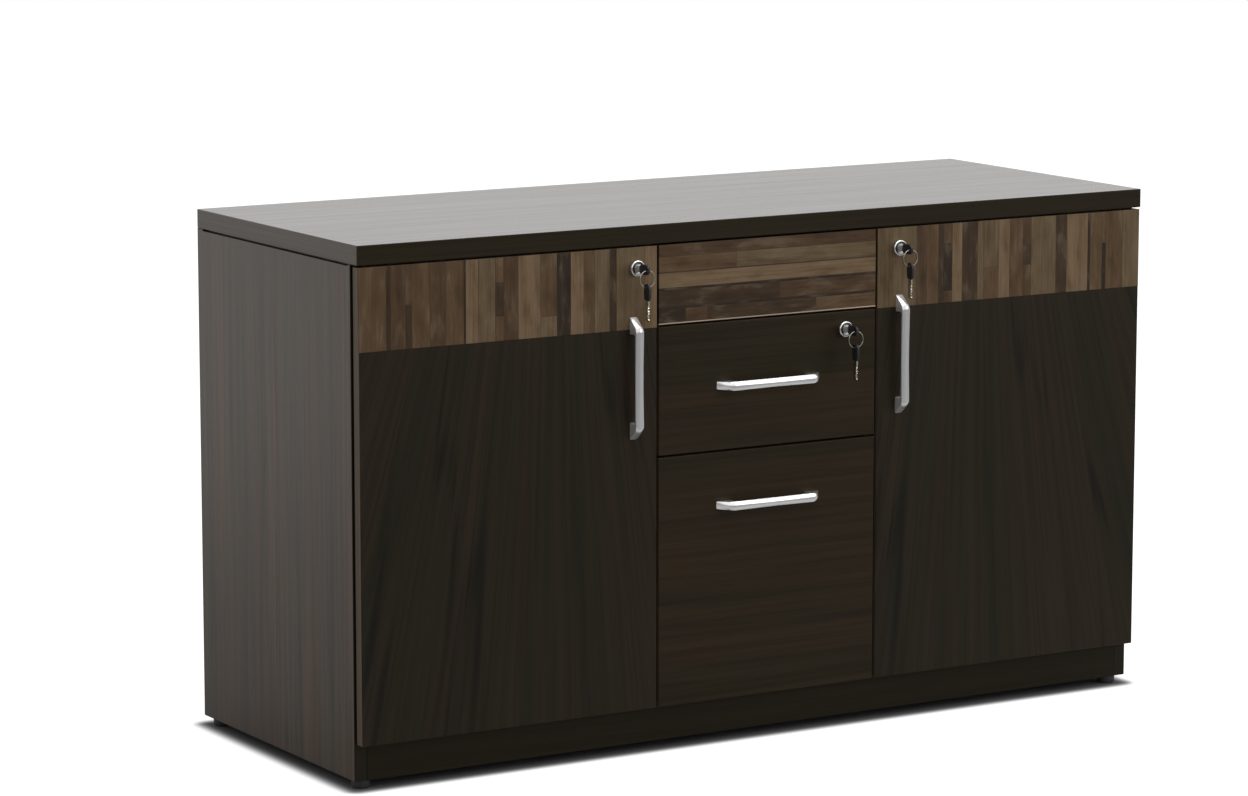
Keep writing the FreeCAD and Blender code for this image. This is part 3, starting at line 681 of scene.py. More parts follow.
def eased_block(low: np.ndarray, high: np.ndarray, radius: float, steps: int = 3) -> Surface:
    """Return a box whose edges and corners are rounded.

    A ball of the easing radius is cut into eight, and each eighth is moved out to its own corner:
    point = corner + radius (cos v cos u, cos v sin u, sin v), with u round the box and v up it.

    Args:
        low: The lowest corner.
        high: The highest corner.
        radius: The easing radius.
        steps: Facets in each quarter turn.

    Returns:
        The closed surface.
    """
    quarter = np.linspace(0.0, np.pi / 2, steps + 1)
    u = np.concatenate([quarter + q * np.pi / 2 for q in range(4)])
    v = np.concatenate([quarter - np.pi / 2, quarter])
    side_x = np.repeat([1, -1, -1, 1], steps + 1)
    side_y = np.repeat([1, 1, -1, -1], steps + 1)
    side_z = np.repeat([-1, 1], steps + 1)
    uu, vv = np.meshgrid(u, v)
    ball = np.stack([np.cos(vv) * np.cos(uu), np.cos(vv) * np.sin(uu), np.sin(vv)], axis=-1)
    sides = np.stack([np.broadcast_to(side_x, uu.shape), np.broadcast_to(side_y, uu.shape),
                      np.broadcast_to(side_z[:, None], uu.shape)], axis=-1)
    low, high = np.asarray(low, float), np.asarray(high, float)
    grid = (low + high) / 2 + sides * ((high - low) / 2 - radius) + radius * ball
    made = Surface.from_grid(grid)
    bottom = [q * (steps + 1) for q in range(4)]
    last = (len(v) - 1) * len(u)
    made.ends = [bottom, [last + b for b in bottom]]
    return made


def turned(centre: Sequence[float], outline: Sequence[tuple[float, float]], out: Point = (0, -1, 0),
           steps: int = 48, closed: bool = False) -> Surface:
    """Return an outline turned round an axis, as on a lathe.

    Args:
        centre: A point on the axis.
        outline: Radius and distance along the axis, point by point, in metres.
        out: The axis, a unit vector.
        steps: Facets round the axis.
        closed: Whether the outline's last point joins its first, as on a ring.

    Returns:
        The surface: point = centre + radius (cos t, sin t) across + distance out.
    """
    axis = np.asarray(out, float)
    upright = abs(axis[2]) > 0.9
    first = np.cross(axis, (1.0, 0.0, 0.0) if upright else (0.0, 0.0, 1.0))
    first /= np.linalg.norm(first)
    second = np.cross(axis, first)
    turn = np.linspace(0.0, 2 * np.pi, steps, endpoint=False)
    ring = np.outer(np.cos(turn), first) + np.outer(np.sin(turn), second)
    line = np.asarray(outline, float)
    grid = np.asarray(centre, float) + line[:, 0, None, None] * ring + line[:, 1, None, None] * axis
    return Surface.from_grid(grid, loop_rows=closed)


def round_corner(before: np.ndarray, corner: np.ndarray, after: np.ndarray, radius: float,
                 steps: int) -> np.ndarray:
    """Return the arc that rounds a corner between two straight runs.

    Args:
        before: A point on the run before the corner.
        corner: The sharp corner.
        after: A point on the run after it.
        radius: The arc's radius.
        steps: Points on the arc.

    Returns:
        The arc: centre + radius (cos a, sin a) between the two points where the runs touch it.
    """
    into = (corner - before) / np.linalg.norm(corner - before)
    away = (after - corner) / np.linalg.norm(after - corner)
    half = math.acos(float(np.clip(into @ away, -1.0, 1.0))) / 2
    inward = away - into
    inward /= np.linalg.norm(inward)
    centre = corner + inward * radius / math.cos(half)
    start = corner - into * radius * math.tan(half) - centre
    finish = corner + away * radius * math.tan(half) - centre
    share = np.linspace(0.0, 1.0, steps)[:, None]
    arc = np.sin((1 - share) * 2 * half) * start + np.sin(share * 2 * half) * finish
    return centre + arc / math.sin(2 * half)


# --- Pieces ----------------------------------------------------------------------------------------
class Piece:
    """A visible piece: surfaces gathered into one mesh that rides on a body of the model."""

    SQUARE = 0.9999

    def __init__(self, name: str, body: str, slot: str, replaces: Sequence[str],
                 finishes: Sequence[bpy.types.Material]) -> None:
        """Set up a piece.

        Args:
            name: The piece's name.
            body: The body that carries it.
            slot: The record's material slot; not used.
            replaces: The nodes it stands for.
            finishes: Its materials, in the order that surfaces number them.
        """
        self.name, self.body, self.slot = name, body, slot
        self.replaces, self.finishes = list(replaces), list(finishes)
        self.surfaces: list[Surface] = []
        self.dress: Callable[[bpy.types.Mesh], None] | None = None
        self.flat = False

    def add(self, *surfaces: Surface) -> "Piece":
        """Add surfaces and return the piece."""
        self.surfaces.extend(surfaces)
        return self

    def build(self, smooth_angle: float = CRISP_ANGLE) -> bpy.types.Object:
        """Merge the surfaces, turn every face outwards and hand the piece to its body.

        Args:
            smooth_angle: Edges sharper than this, in degrees, stay crisp.

        Returns:
            The new object.
        """
        points, faces, numbers, start = [], [], [], 0
        for surface in self.surfaces:
            points.append(surface.points)
            these = (surface.quads + start).tolist() + [[i + start for i in e] for e in surface.ends]
            faces += these
            numbers += [surface.finish] * len(these)
            start += len(surface.points)
        mesh = bpy.data.meshes.new(self.name)
        mesh.from_pydata(np.concatenate(points), [], faces)
        mesh.polygons.foreach_set("material_index", numbers)
        work = bmesh.new()
        work.from_mesh(mesh)
        bmesh.ops.remove_doubles(work, verts=work.verts, dist=MERGED)
        bmesh.ops.recalc_face_normals(work, faces=work.faces)
        work.to_mesh(mesh)
        work.free()
        return self.finish(mesh, smooth_angle)

    def finish(self, mesh: bpy.types.Mesh, smooth_angle: float) -> bpy.types.Object:
        """Put a whole mesh into the scene, with its finishes, body and replaced nodes.

        On a board, a face that lies square to an axis stays flat, so that the easing round it
        doesn't bend its reflections.

        Args:
            mesh: The mesh, in place in the row's frame.
            smooth_angle: Edges sharper than this, in degrees, stay crisp.

        Returns:
            The new object.
        """
        for material in self.finishes:
            mesh.materials.append(material)
        if self.dress:
            self.dress(mesh)
        mesh.set_sharp_from_angle(angle=math.radians(smooth_angle))
        bent = np.abs(face_normals(mesh)).max(axis=1) < self.SQUARE
        mesh.polygons.foreach_set("use_smooth", bent | (not self.flat))
        mesh.update()
        made = bpy.data.objects.new(self.name, mesh)
        bpy.context.scene.collection.objects.link(made)
        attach(made, self.body)
        if self.replaces:
            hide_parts(*self.replaces)
        LOG.info("%s: %d faces on %s", self.name, len(mesh.polygons), self.body)
        return made


def corners(node: str) -> tuple[np.ndarray, np.ndarray]:
    """Return a node's lowest and highest corners."""
    low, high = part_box(node)
    return np.array(low), np.array(high)


def face_vectors(mesh: bpy.types.Mesh, name: str) -> np.ndarray:
    """Read a vector of every face of a mesh.

    Args:
        mesh: The mesh.
        name: The vector's name among a face's values.

    Returns:
        The vectors, one row each.
    """
    values = np.zeros(len(mesh.polygons) * 3, np.float32)
    mesh.polygons.foreach_get(name, values)
    return values.reshape(-1, 3)


def face_normals(mesh: bpy.types.Mesh) -> np.ndarray:
    """Return the normals of a mesh's faces, one row each."""
    return face_vectors(mesh, "normal")


def face_centres(mesh: bpy.types.Mesh) -> np.ndarray:
    """Return the centres of a mesh's faces, one row each."""
    return face_vectors(mesh, "center")


class EasedBoard:
    """A board with its bored holes kept and its outer edges eased, as edging tape leaves them."""

    FLAT_ANGLE = math.radians(1.0)
    RIM_ANGLE = 0.5

    def __init__(self, node: str, body: str, slot: str, finishes: Sequence[bpy.types.Material],
                 radius: float = 0.8 * MM, name: str | None = None) -> None:
        """Take a board from the model.

        Args:
            node: The board's node.
            body: The body that carries it.
            slot: The record's material slot.
            finishes: The face's material and, where it differs, the edging's.
            radius: The easing radius.
            name: The piece's name, by default the node's with _board.
        """
        self.node, self.radius = node, radius
        self.piece = Piece(name or node + "_board", body, slot, [node], finishes)
        self.piece.flat = True

    def build(self, cuts: Iterable[tuple[Point, Point]] = (),
              faced: FaceRule | None = None) -> bpy.types.Object:
        """Merge a copy of the board's triangles, ease its outer edges and dress it.

        Args:
            cuts: Planes that divide its faces, each a point and a normal.
            faced: Gives each face's finish number from the face normals and centres.

        Returns:
            The new object.
        """
        low, high = corners(self.node)
        work = bmesh.new()
        work.from_mesh(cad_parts[self.node].data)
        bmesh.ops.remove_doubles(work, verts=work.verts, dist=MERGED)
        bmesh.ops.dissolve_limit(work, angle_limit=self.FLAT_ANGLE, verts=work.verts, edges=work.edges)

        def outer(vertex: bmesh.types.BMVert) -> int:
            """Count the outer planes of the board that a vertex lies on."""
            place = np.array(vertex.co)
            return int(((abs(place - low) < ON_PLANE) | (abs(place - high) < ON_PLANE)).sum())

        rims = [e for e in work.edges if len(e.link_faces) == 2
                and e.calc_face_angle(0.0) > self.RIM_ANGLE and min(outer(v) for v in e.verts) >= 2]
        bmesh.ops.bevel(work, geom=rims, offset=self.radius, segments=2, profile=0.5, affect="EDGES")
        for place, normal in cuts:
            bmesh.ops.bisect_plane(work, geom=[*work.verts, *work.edges, *work.faces],
                                   plane_co=place, plane_no=normal)
        mesh = bpy.data.meshes.new(self.piece.name)
        work.to_mesh(mesh)
        work.free()
        if faced:
            numbers = faced(face_normals(mesh), face_centres(mesh)).astype(np.int32)
            mesh.polygons.foreach_set("material_index", numbers)
        return self.piece.finish(mesh, CRISP_ANGLE)


def edges_apart(face_axis: int, limit: float = NEARLY_SQUARE) -> FaceRule:
    """Return a rule that gives a board's edges their own finish.

    Args:
        face_axis: The axis across the board's faces, which keep finish 0.
        limit: How far a normal may lean to that axis and still be an edge's, with finish 1.

    Returns:
        The rule, from the face normals and centres to the finish numbers.
    """
    return lambda normals, centres: np.abs(normals[:, face_axis]) < limit


# --- The staved sheets -----------------------------------------------------------------------------
@dataclass(frozen=True)
class StaveRun:
    """One row of staves: its width in mm and its staves, each with its share of the length."""

    width: float
    staves: tuple[tuple[float, Stave], ...]


def run(width: float, *staves: Stave | tuple[float, Stave]) -> StaveRun:
    """Return a row of staves; a stave without a share takes the whole length."""
    return StaveRun(width, tuple(s if isinstance(s, tuple) else (1.0, s) for s in staves))


class StavedSheet:
    """The sheet of staves on a door or on the fascia.

    Each stave is a stretch of the sheet's face, and the face's map gives the place on the stave
    from its own corner, in metres.
    """

    TONE, SIZE, PLACE = "stave_tone", "stave_size", "stave_place"
    # The height of the pale strip at a sheet's foot, partly tape and partly painted highlight.
    TAPE = 1.6 * MM
    EASING = 0.3 * MM
    SEED_SPAN = 40.0

    def __init__(self, node: str, body: str, finishes: Finishes, across: Grain,
                 runs: Sequence[StaveRun], seed: int, taped: bool = False) -> None:
        """Lay out the staves.

        Args:
            node: The sheet's node.
            body: The body that carries it.
            finishes: The credenza's finishes.
            across: The axis that the rows follow each other along.
            runs: The rows, from the low end of that axis.
            seed: The seed of the staves' own grain.
            taped: Whether a pale tape runs along the sheet's foot, made paler still as a painted highlight.
        """
        self.across = across.value
        self.along = 2 if across is Grain.ALONG_X else 0
        self.low, self.high = corners(node)
        self.joints = self.divided(self.across, [r.width for r in runs])
        self.runs = runs
        self.random = np.random.default_rng(seed)
        self.taped = taped
        self.board = EasedBoard(node, body, "staved_wood", [finishes["staves"], finishes["pale_edging"]],
                                self.EASING, node + "_staves")
        self.board.piece.dress = self.mark

    def divided(self, axis: int, parts: Sequence[float]) -> np.ndarray:
        """Divide the sheet along an axis in proportion to its parts.

        Args:
            axis: The axis.
            parts: The parts' sizes, in any unit.

        Returns:
            The places of the divisions, with both ends.
        """
        span = self.high[axis] - self.low[axis]
        return self.low[axis] + span * np.concatenate([[0.0], np.cumsum(parts)]) / np.sum(parts)

    def ends(self, run_: StaveRun) -> np.ndarray:
        """Return where a row's staves begin and end along it."""
        return self.divided(self.along, [share for share, _ in run_.staves])

    def mark(self, mesh: bpy.types.Mesh) -> None:
        """Write each face's tone, size and place from the stave that it lies on.

        Args:
            mesh: The sheet's mesh, already divided at the joints.
        """
        centres = face_centres(mesh)
        row = np.clip(np.searchsorted(self.joints, centres[:, self.across]) - 1, 0, len(self.runs) - 1)
        tone, size = np.zeros(len(centres)), np.zeros((len(centres), 3))
        origin = np.zeros((len(centres), 2))
        for number, run_ in enumerate(self.runs):
            ends = self.ends(run_)
            seeds = self.random.uniform(0.0, self.SEED_SPAN, len(run_.staves))
            here = row == number
            stave = np.clip(np.searchsorted(ends, centres[:, self.along]) - 1, 0, len(run_.staves) - 1)
            tone[here] = np.array([s.value for _, s in run_.staves])[stave[here]]
            size[here, 0] = self.joints[number + 1] - self.joints[number]
            size[here, 1] = (ends[1:] - ends[:-1])[stave[here]]
            size[here, 2] = seeds[stave[here]]
            origin[here, 0] = self.joints[number]
            origin[here, 1] = ends[stave[here]]
        mesh.attributes.new(self.TONE, "FLOAT", "FACE").data.foreach_set("value", tone)
        mesh.attributes.new(self.SIZE, "FLOAT_VECTOR", "FACE").data.foreach_set("vector", size.ravel())
        at = np.zeros(len(mesh.loops), np.int32)
        mesh.loops.foreach_get("vertex_index", at)
        places = np.zeros(len(mesh.vertices) * 3, np.float32)
        mesh.vertices.foreach_get("co", places)
        places = places.reshape(-1, 3)[at][:, [self.across, self.along]]
        counts = np.zeros(len(mesh.polygons), np.int32)
        mesh.polygons.foreach_get("loop_total", counts)
        flat = places - np.repeat(origin, counts, axis=0)
        mesh.uv_layers.new(name=self.PLACE).data.foreach_set("uv", flat.astype(np.float32).ravel())

    def build(self) -> bpy.types.Object:
        """Divide the sheet at its joints and mark its staves.

        Returns:
            The new object.
        """
        def plane(axis: int, place: float) -> tuple[Point, Point]:
            """Return a point and the normal of a plane across an axis."""
            unit = np.eye(3)[axis]
            return tuple(place * unit), tuple(unit)

        cuts = [plane(self.across, j) for j in self.joints[1:-1]]
        butts = {round(float(e), 5) for r in self.runs for e in self.ends(r)[1:-1]}
        cuts += [plane(self.along, e) for e in sorted(butts)]
        if not self.taped:
            return self.board.build(cuts)
        # The pale strip along the foot: partly a pale tape, partly a painted highlight for the lit edge in
        # the gap below.
        pale_foot_top = float(self.low[2]) + self.TAPE
        return self.board.build([*cuts, plane(2, pale_foot_top)],
                                lambda normals, centres: centres[:, 2] < pale_foot_top)


SMOKE, UMBER, RUSSET, WALNUT, OLIVE, TAN = Stave
LEFT_BAND = (
    run(38, WALNUT), run(6, UMBER), run(21, RUSSET), run(9, (0.52, UMBER), (0.48, RUSSET)),
    run(25, WALNUT), run(22, RUSSET), run(26, WALNUT), run(3, SMOKE), run(18, TAN), run(24, OLIVE),
    run(12, (0.3, WALNUT), (0.4, UMBER), (0.3, WALNUT)), run(21, RUSSET), run(32, TAN),
    run(24, (0.25, OLIVE), (0.75, WALNUT)), run(20, SMOKE), run(19, TAN), run(16, WALNUT), run(22, OLIVE),
    run(10, UMBER), run(42, OLIVE), run(18, TAN),
)
RIGHT_BAND = (
    run(18, OLIVE), run(44, OLIVE), run(16, RUSSET), run(19, WALNUT), run(8, UMBER),
    run(14, (0.15, RUSSET), (0.6, SMOKE), (0.25, RUSSET)), run(16, TAN), run(25, UMBER), run(10, OLIVE),
    run(24, (0.4, WALNUT), (0.6, OLIVE)), run(18, TAN), run(22, WALNUT),
    run(13, (0.4, RUSSET), (0.25, UMBER), (0.35, RUSSET)), run(41, OLIVE), run(18, UMBER), run(35, TAN),
    run(4, SMOKE), run(20, WALNUT), run(6, (0.6, SMOKE), (0.4, WALNUT)), run(28, WALNUT), run(28, OLIVE),
)
FASCIA_BAND = (
    run(19, (0.12, SMOKE), (0.1, RUSSET), (0.5, UMBER), (0.28, WALNUT)), run(3, SMOKE),
    run(21, (0.55, UMBER), (0.45, RUSSET)), run(3, SMOKE), run(19, TAN), run(1, UMBER),
    run(20, (0.35, WALNUT), (0.65, OLIVE)), run(15, RUSSET),
)


# --- Handles ---------------------------------------------------------------------------------------
@dataclass
class BowHandle:
    """A cast bow handle: a crowned bar whose ends turn back in two deep legs.

    Its outer and its inner line run side by side from foot to foot, and at every station the
    section is a crowned bar between them, rounded at its four edges, that narrows down the legs.
    """

    node: str
    body: str
    lying: bool
    bar: float = 5.0 * MM
    splay: float = 13.0 * MM
    foot: float = 22.0 * MM
    leg: float = 8.0 * MM
    bend: float = 10.0 * MM
    inner_bend: float = 3.0 * MM
    crown: float = 2.8 * MM
    foot_crown: float = 0.2
    edge: float = 0.8 * MM
    foot_width: float = 10.5 * MM
    bend_steps: int = 11
    leg_steps: int = 12
    bar_steps: int = 18
    edge_steps: int = 5
    crown_steps: int = 11
    crisp_angle: float = 40.0

    def lines(self, half: float, standoff: float) -> tuple[np.ndarray, np.ndarray]:
        """Return the outer and the inner line from foot to foot.

        Args:
            half: Half the handle's length.
            standoff: How far the bar stands out.

        Returns:
            Two rows of points, each the distance out and the place along.
        """
        bar_end = half - self.splay
        return (self.bow(half, standoff, bar_end, self.bend),
                self.bow(half - self.foot, standoff - self.bar, bar_end - self.leg, self.inner_bend))

    def bow(self, foot: float, reach: float, end: float, radius: float) -> np.ndarray:
        """Return one line of the bow: a leg and its corner, the bar, and their mirror image.

        Args:
            foot: Half the distance between its feet.
            reach: How far it stands out.
            end: Half the distance between its sharp corners.
            radius: The radius of its corners.

        Returns:
            A row of points, each the distance out and the place along.
        """
        start, turn, across = np.array([0.0, -foot]), np.array([reach, -end]), np.array([reach, end])
        arc = round_corner(start, turn, across, radius, self.bend_steps)
        leg = start + (arc[0] - start) * np.linspace(0.0, 1.0, self.leg_steps + 1)[:-1, None]
        half_bow = np.vstack([leg, arc])
        mirror = np.array([1, -1])
        share = np.linspace(0.0, 1.0, self.bar_steps + 2)[1:-1, None]
        bar = arc[-1] + (arc[-1] * mirror - arc[-1]) * share
        return np.vstack([half_bow, bar, half_bow[::-1] * mirror])

    def section(self, half_width: float) -> np.ndarray:
        """Lay out the bar's section.

        The outer side sinks from its middle as the square of the way to its edge, and each corner
        is a quarter turn.

        Args:
            half_width: Half the bar's width.

        Returns:
            Its points, each the place across, the share from inner to outer line, the rounding and
            the crown.
        """
        quarter = np.linspace(0.0, np.pi / 2, self.edge_steps)
        flat = half_width - self.edge
        right, left = flat + self.edge * np.sin(quarter), -flat - self.edge * np.cos(quarter)
        middle = np.linspace(flat, -flat, self.crown_steps + 2)[1:-1]
        outer = np.concatenate([right[::-1], middle, left[::-1]])
        inset = np.concatenate([self.edge * (1 - np.cos(quarter))[::-1], np.zeros(self.crown_steps),
                                self.edge * (1 - np.sin(quarter))[::-1]])
        sunk = -self.crown * (outer / half_width) ** 2
        top = np.stack([outer, np.ones_like(outer), -inset, sunk], axis=1)
        under = np.stack([outer, np.zeros_like(outer), inset, np.zeros_like(outer)], axis=1)
        return np.vstack([top, under[::-1]])

    def build(self, finish: bpy.types.Material) -> bpy.types.Object:
        """Carry the section along the bow.

        Args:
            finish: The handle's material.

        Returns:
            The handle.
        """
        low, high = corners(self.node)
        middle, size = (low + high) / 2, high - low
        axis, side = (0, 2) if self.lying else (2, 0)
        outer, inner = self.lines(size[axis] / 2, size[1])
        section = self.section(size[side] / 2)
        rise = outer[:, 0] / size[1]
        narrow = 1.0 - (1.0 - self.foot_width / size[side]) * (1.0 - rise)
        reach = outer - inner
        unit = reach / np.linalg.norm(reach, axis=1)[:, None]
        ease = self.foot_crown + (1.0 - self.foot_crown) * rise ** 2 * (3.0 - 2.0 * rise)
        drop = section[None, :, 2] + section[None, :, 3] * ease[:, None]
        line = inner[:, None] + section[None, :, 1, None] * reach[:, None] + drop[..., None] * unit[:, None]
        grid = np.zeros((*line.shape[:2], 3))
        grid[..., axis] = middle[axis] + line[..., 1]
        grid[..., side] = middle[side] + section[None, :, 0] * narrow[:, None]
        grid[..., 1] = high[1] - np.maximum(line[..., 0], 0.0)
        piece = Piece(self.node + "_bow", self.body, "satin_chrome", [self.node], [finish])
        return piece.add(Surface.from_grid(grid, cap_first=True, cap_last=True)).build(self.crisp_angle)


# --- Locks and keys --------------------------------------------------------------------------------
@dataclass
class CamLock:
    """A cam lock's housing: a polished nose with a rolled rim, the barrel behind it and its nut."""

    node: str
    body: str
    plug: float = 5.05 * MM
    barrel: float = 8.0 * MM
    nose: float = 8.0 * MM
    nose_radius: float = 10.5 * MM
    dish: float = 0.25 * MM
    rim: float = 2.0 * MM
    rim_fall: float = 0.8 * MM
    rim_steps: int = 7
    skirt: float = 0.9 * MM
    skirt_draft: float = 0.3 * MM
    chamfer: float = 0.6 * MM
    dark_depth: float = 0.6 * MM
    board: float = 16.0 * MM
    nut_flats: float = 21.0 * MM
    nut_thick: float = 3.0 * MM
    nut_chamfer: float = 0.4 * MM

    def nose_outline(self, back: float) -> list[tuple[float, float]]:
        """Draw the nose with its dished face and rolled rim, and the barrel behind it.

        Args:
            back: Where the barrel ends.

        Returns:
            The outline's points, each the radius and the distance out of the board.
        """
        face, top = self.nose - self.dish, self.nose - self.rim
        inner = self.nose_radius - self.rim
        roll = [(inner + self.rim * math.sin(t), top + self.rim * math.cos(t))
                for t in np.linspace(0.0, np.pi / 2, self.rim_steps)]
        return [(self.plug, face - self.dish), (self.plug + 2 * self.dish, face),
                (inner - self.rim_fall, face), *roll, (self.nose_radius, self.skirt),
                (self.nose_radius - self.skirt_draft, 0.0), (self.barrel, 0.0),
                (self.barrel, back + self.chamfer), (self.barrel - self.chamfer, back), (self.plug, back)]

    def nut(self, centre: np.ndarray) -> Surface:
        """Turn the six-sided nut behind the board.

        Args:
            centre: Where the lock's axis meets the board's face.

        Returns:
            The nut, in the second finish.
        """
        points = self.nut_flats / 2 / math.cos(math.pi / 6)
        back = -self.board - self.nut_thick
        outline = [(self.barrel, -self.board), (points, -self.board), (points, back + self.nut_chamfer),
                   (points - self.nut_chamfer, back), (self.barrel, back)]
        made = turned(centre, outline, closed=True, steps=6)
        made.finish = 1
        return made

    def build(self, finishes: Finishes) -> bpy.types.Object:
        """Turn the nose and the barrel, and set the nut on it.

        Args:
            finishes: The credenza's finishes.

        Returns:
            The lock's housing and nut.
        """
        low, high = corners(self.node)
        centre = np.array([(low[0] + high[0]) / 2, low[1] + self.nose, (low[2] + high[2]) / 2])

        def darken(mesh: bpy.types.Mesh) -> None:
            """Give the dished face, the faces near the front that look forward, a darkened chrome: a painted
            dark reflection.

            Args:
                mesh: The lock's mesh.
            """
            near = face_centres(mesh)[:, 1] < low[1] + self.dark_depth
            finish = np.zeros(len(mesh.polygons), np.int32)
            mesh.polygons.foreach_get("material_index", finish)
            finish[near & (face_normals(mesh)[:, 1] < -NEARLY_SQUARE)] = 2
            mesh.polygons.foreach_set("material_index", finish)

        piece = Piece(self.node + "_barrel", self.body, "bright_chrome", [self.node],
                      [finishes["bright_chrome"], finishes["zinc_steel"], finishes["smoked_chrome"]])
        piece.dress = darken
        back = self.nose - (high[1] - low[1])
        barrel = turned(centre, self.nose_outline(back), closed=True, steps=64)
        return piece.add(barrel, self.nut(centre)).build()


@dataclass
class KeySet:
    """The key in the lock, and the wire ring with the spare key that hangs from it."""

    BACK = np.array([0.0, 1.0, 0.0])
    DOWN = np.array([0.0, 0.0, -1.0])

    lock_node: str
    lock_body: str
    spare_node: str
    spare_body: str
    head_length: float = 22.0 * MM
    head_width: float = 13.0 * MM
    head_thick: float = 3.5 * MM
    head_power: float = 3.2
    head_rim: float = 0.9 * MM
    head_steps: int = 56
    hole_flare: float = 0.25 * MM
    hole_lip: float = 1.15
    hole_edge: float = 4.0 * MM
    hole: float = 1.6 * MM
    neck: float = 3.0 * MM
    collar_half: float = 4.0 * MM
    collar_overlap: float = 0.6 * MM
    collar_easing: float = 0.5 * MM
    ring: float = 11.0 * MM
    wire: float = 0.36 * MM
    coil_turns: int = 2
    coil_steps: int = 48
    coil_gap: float = 0.98
    wire_steps: int = 10
    blade_thick: float = 2.0 * MM
    blade_width: float = 7.0 * MM
    blade_length: float = 26.0 * MM
    blade_tip: float = 1.6 * MM
    tip_half: float = 0.5 * MM
    cuts: tuple[float, ...] = (0.9 * MM, 1.9 * MM, 1.2 * MM, 2.3 * MM, 1.5 * MM)
    cut_span: Pair = (0.3, 0.86)
    cut_flank: float = 0.04

    def head(self, hole_at: np.ndarray, along: np.ndarray, across: np.ndarray) -> Surface:
        """Make a key head as a plate with a hole, round at its rim.

        At each turn t the plate runs from the hole's wall to the outline, which is the
        superellipse |x / a| ^ head_power + |y / b| ^ head_power = 1, over a half round rim and back.

        Args:
            hole_at: The middle of the hole.
            along: The direction from the hole to the blade.
            across: The head's width direction.

        Returns:
            The closed surface.
        """
        thick = np.array([1.0, 0.0, 0.0])
        t = np.linspace(0.0, 2 * np.pi, self.head_steps, endpoint=False)
        cos, sin = np.cos(t), np.sin(t)
        power = 2.0 / self.head_power
        out = np.stack([self.head_length / 2 * np.sign(cos) * np.abs(cos) ** power,
                        self.head_width / 2 * np.sign(sin) * np.abs(sin) ** power], axis=1)
        out[:, 0] += self.head_length / 2 - self.hole_edge
        bore = self.hole * np.stack([cos, sin], axis=1)
        unit = out / np.linalg.norm(out, axis=1)[:, None]
        edge, half = self.head_rim, self.head_thick / 2
        quarter = np.linspace(0.0, np.pi / 2, 4)
        rings = [(bore, -half + self.hole_flare), (bore * self.hole_lip, -half)]
        rings += [(out - unit * edge * (1 - math.sin(a)), -half + edge * (1 - math.cos(a))) for a in quarter]
        rings += [(flat, -height) for flat, height in reversed(rings)]
        grid = np.stack([hole_at + flat[:, :1] * along + flat[:, 1:] * across + height * thick
                         for flat, height in rings])
        return Surface.from_grid(grid, loop_rows=True)

    def blade(self, start: np.ndarray, along: np.ndarray, across: np.ndarray, length: float,
              cut: bool) -> Surface:
        """Return a key blade: an outline with its cuts on one side, carried across its thickness.

        Args:
            start: The middle of its root.
            along: The direction of its length.
            across: The direction of its width.
            length: Its length.
            cut: Whether its cuts show.

        Returns:
            The closed surface.
        """
        half = self.blade_width / 2
        depths = np.array(self.cuts) * cut
        place = np.linspace(*self.cut_span, len(depths)) * length
        flank = self.cut_flank * length
        lower = [(0.0, -half)]
        for at, depth in zip(place, depths):
            lower += [(at - flank - depth / 2, -half), (at - flank / 2, -half + depth),
                      (at + flank / 2, -half + depth), (at + flank + depth / 2, -half)]
        tip = length - self.blade_tip
        outline = np.array([*sorted(lower), (tip, -half), (length, -self.tip_half),
                            (length, self.tip_half), (tip, half), (0.0, half)])
        thick = np.array([1.0, 0.0, 0.0])
        flat = start + outline[:, :1] * along + outline[:, 1:] * across
        grid = np.stack([flat - thick * self.blade_thick / 2, flat + thick * self.blade_thick / 2])
        return Surface.from_grid(grid, cap_first=True, cap_last=True, finish=1)

    def split_ring(self, hole_at: np.ndarray) -> Surface:
        """Wind the wire ring: two turns side by side, carried as a round section along the coil.

        Args:
            hole_at: The middle of the hole that it hangs from.

        Returns:
            The closed surface.
        """
        turn = np.linspace(0.0, 2 * np.pi * self.coil_turns, self.coil_steps * self.coil_turns + 1)
        ring_at = hole_at + self.ring * self.DOWN
        path = ring_at + self.ring * np.stack([np.sin(turn), np.zeros_like(turn), np.cos(turn)], axis=1)
        path[:, 1] += self.wire * self.coil_gap * np.cos(turn / self.coil_turns)
        outward = (path - ring_at) / self.ring
        outward[:, 1] = 0.0
        around = np.linspace(0.0, 2 * np.pi, self.wire_steps, endpoint=False)
        wire = path[:, None] + self.wire * (np.cos(around)[None, :, None] * outward[:, None]
                                            + np.sin(around)[None, :, None] * self.BACK)
        return Surface.from_grid(wire, cap_first=True, cap_last=True, finish=1)

    def piece(self, node: str, body: str, ending: str, finishes: Finishes) -> Piece:
        """Return an empty piece for a key, with a plastic head and brass for the rest."""
        return Piece(node + ending, body, "key_plastic", [node],
                     [finishes["key_plastic"], finishes["key_brass"]])

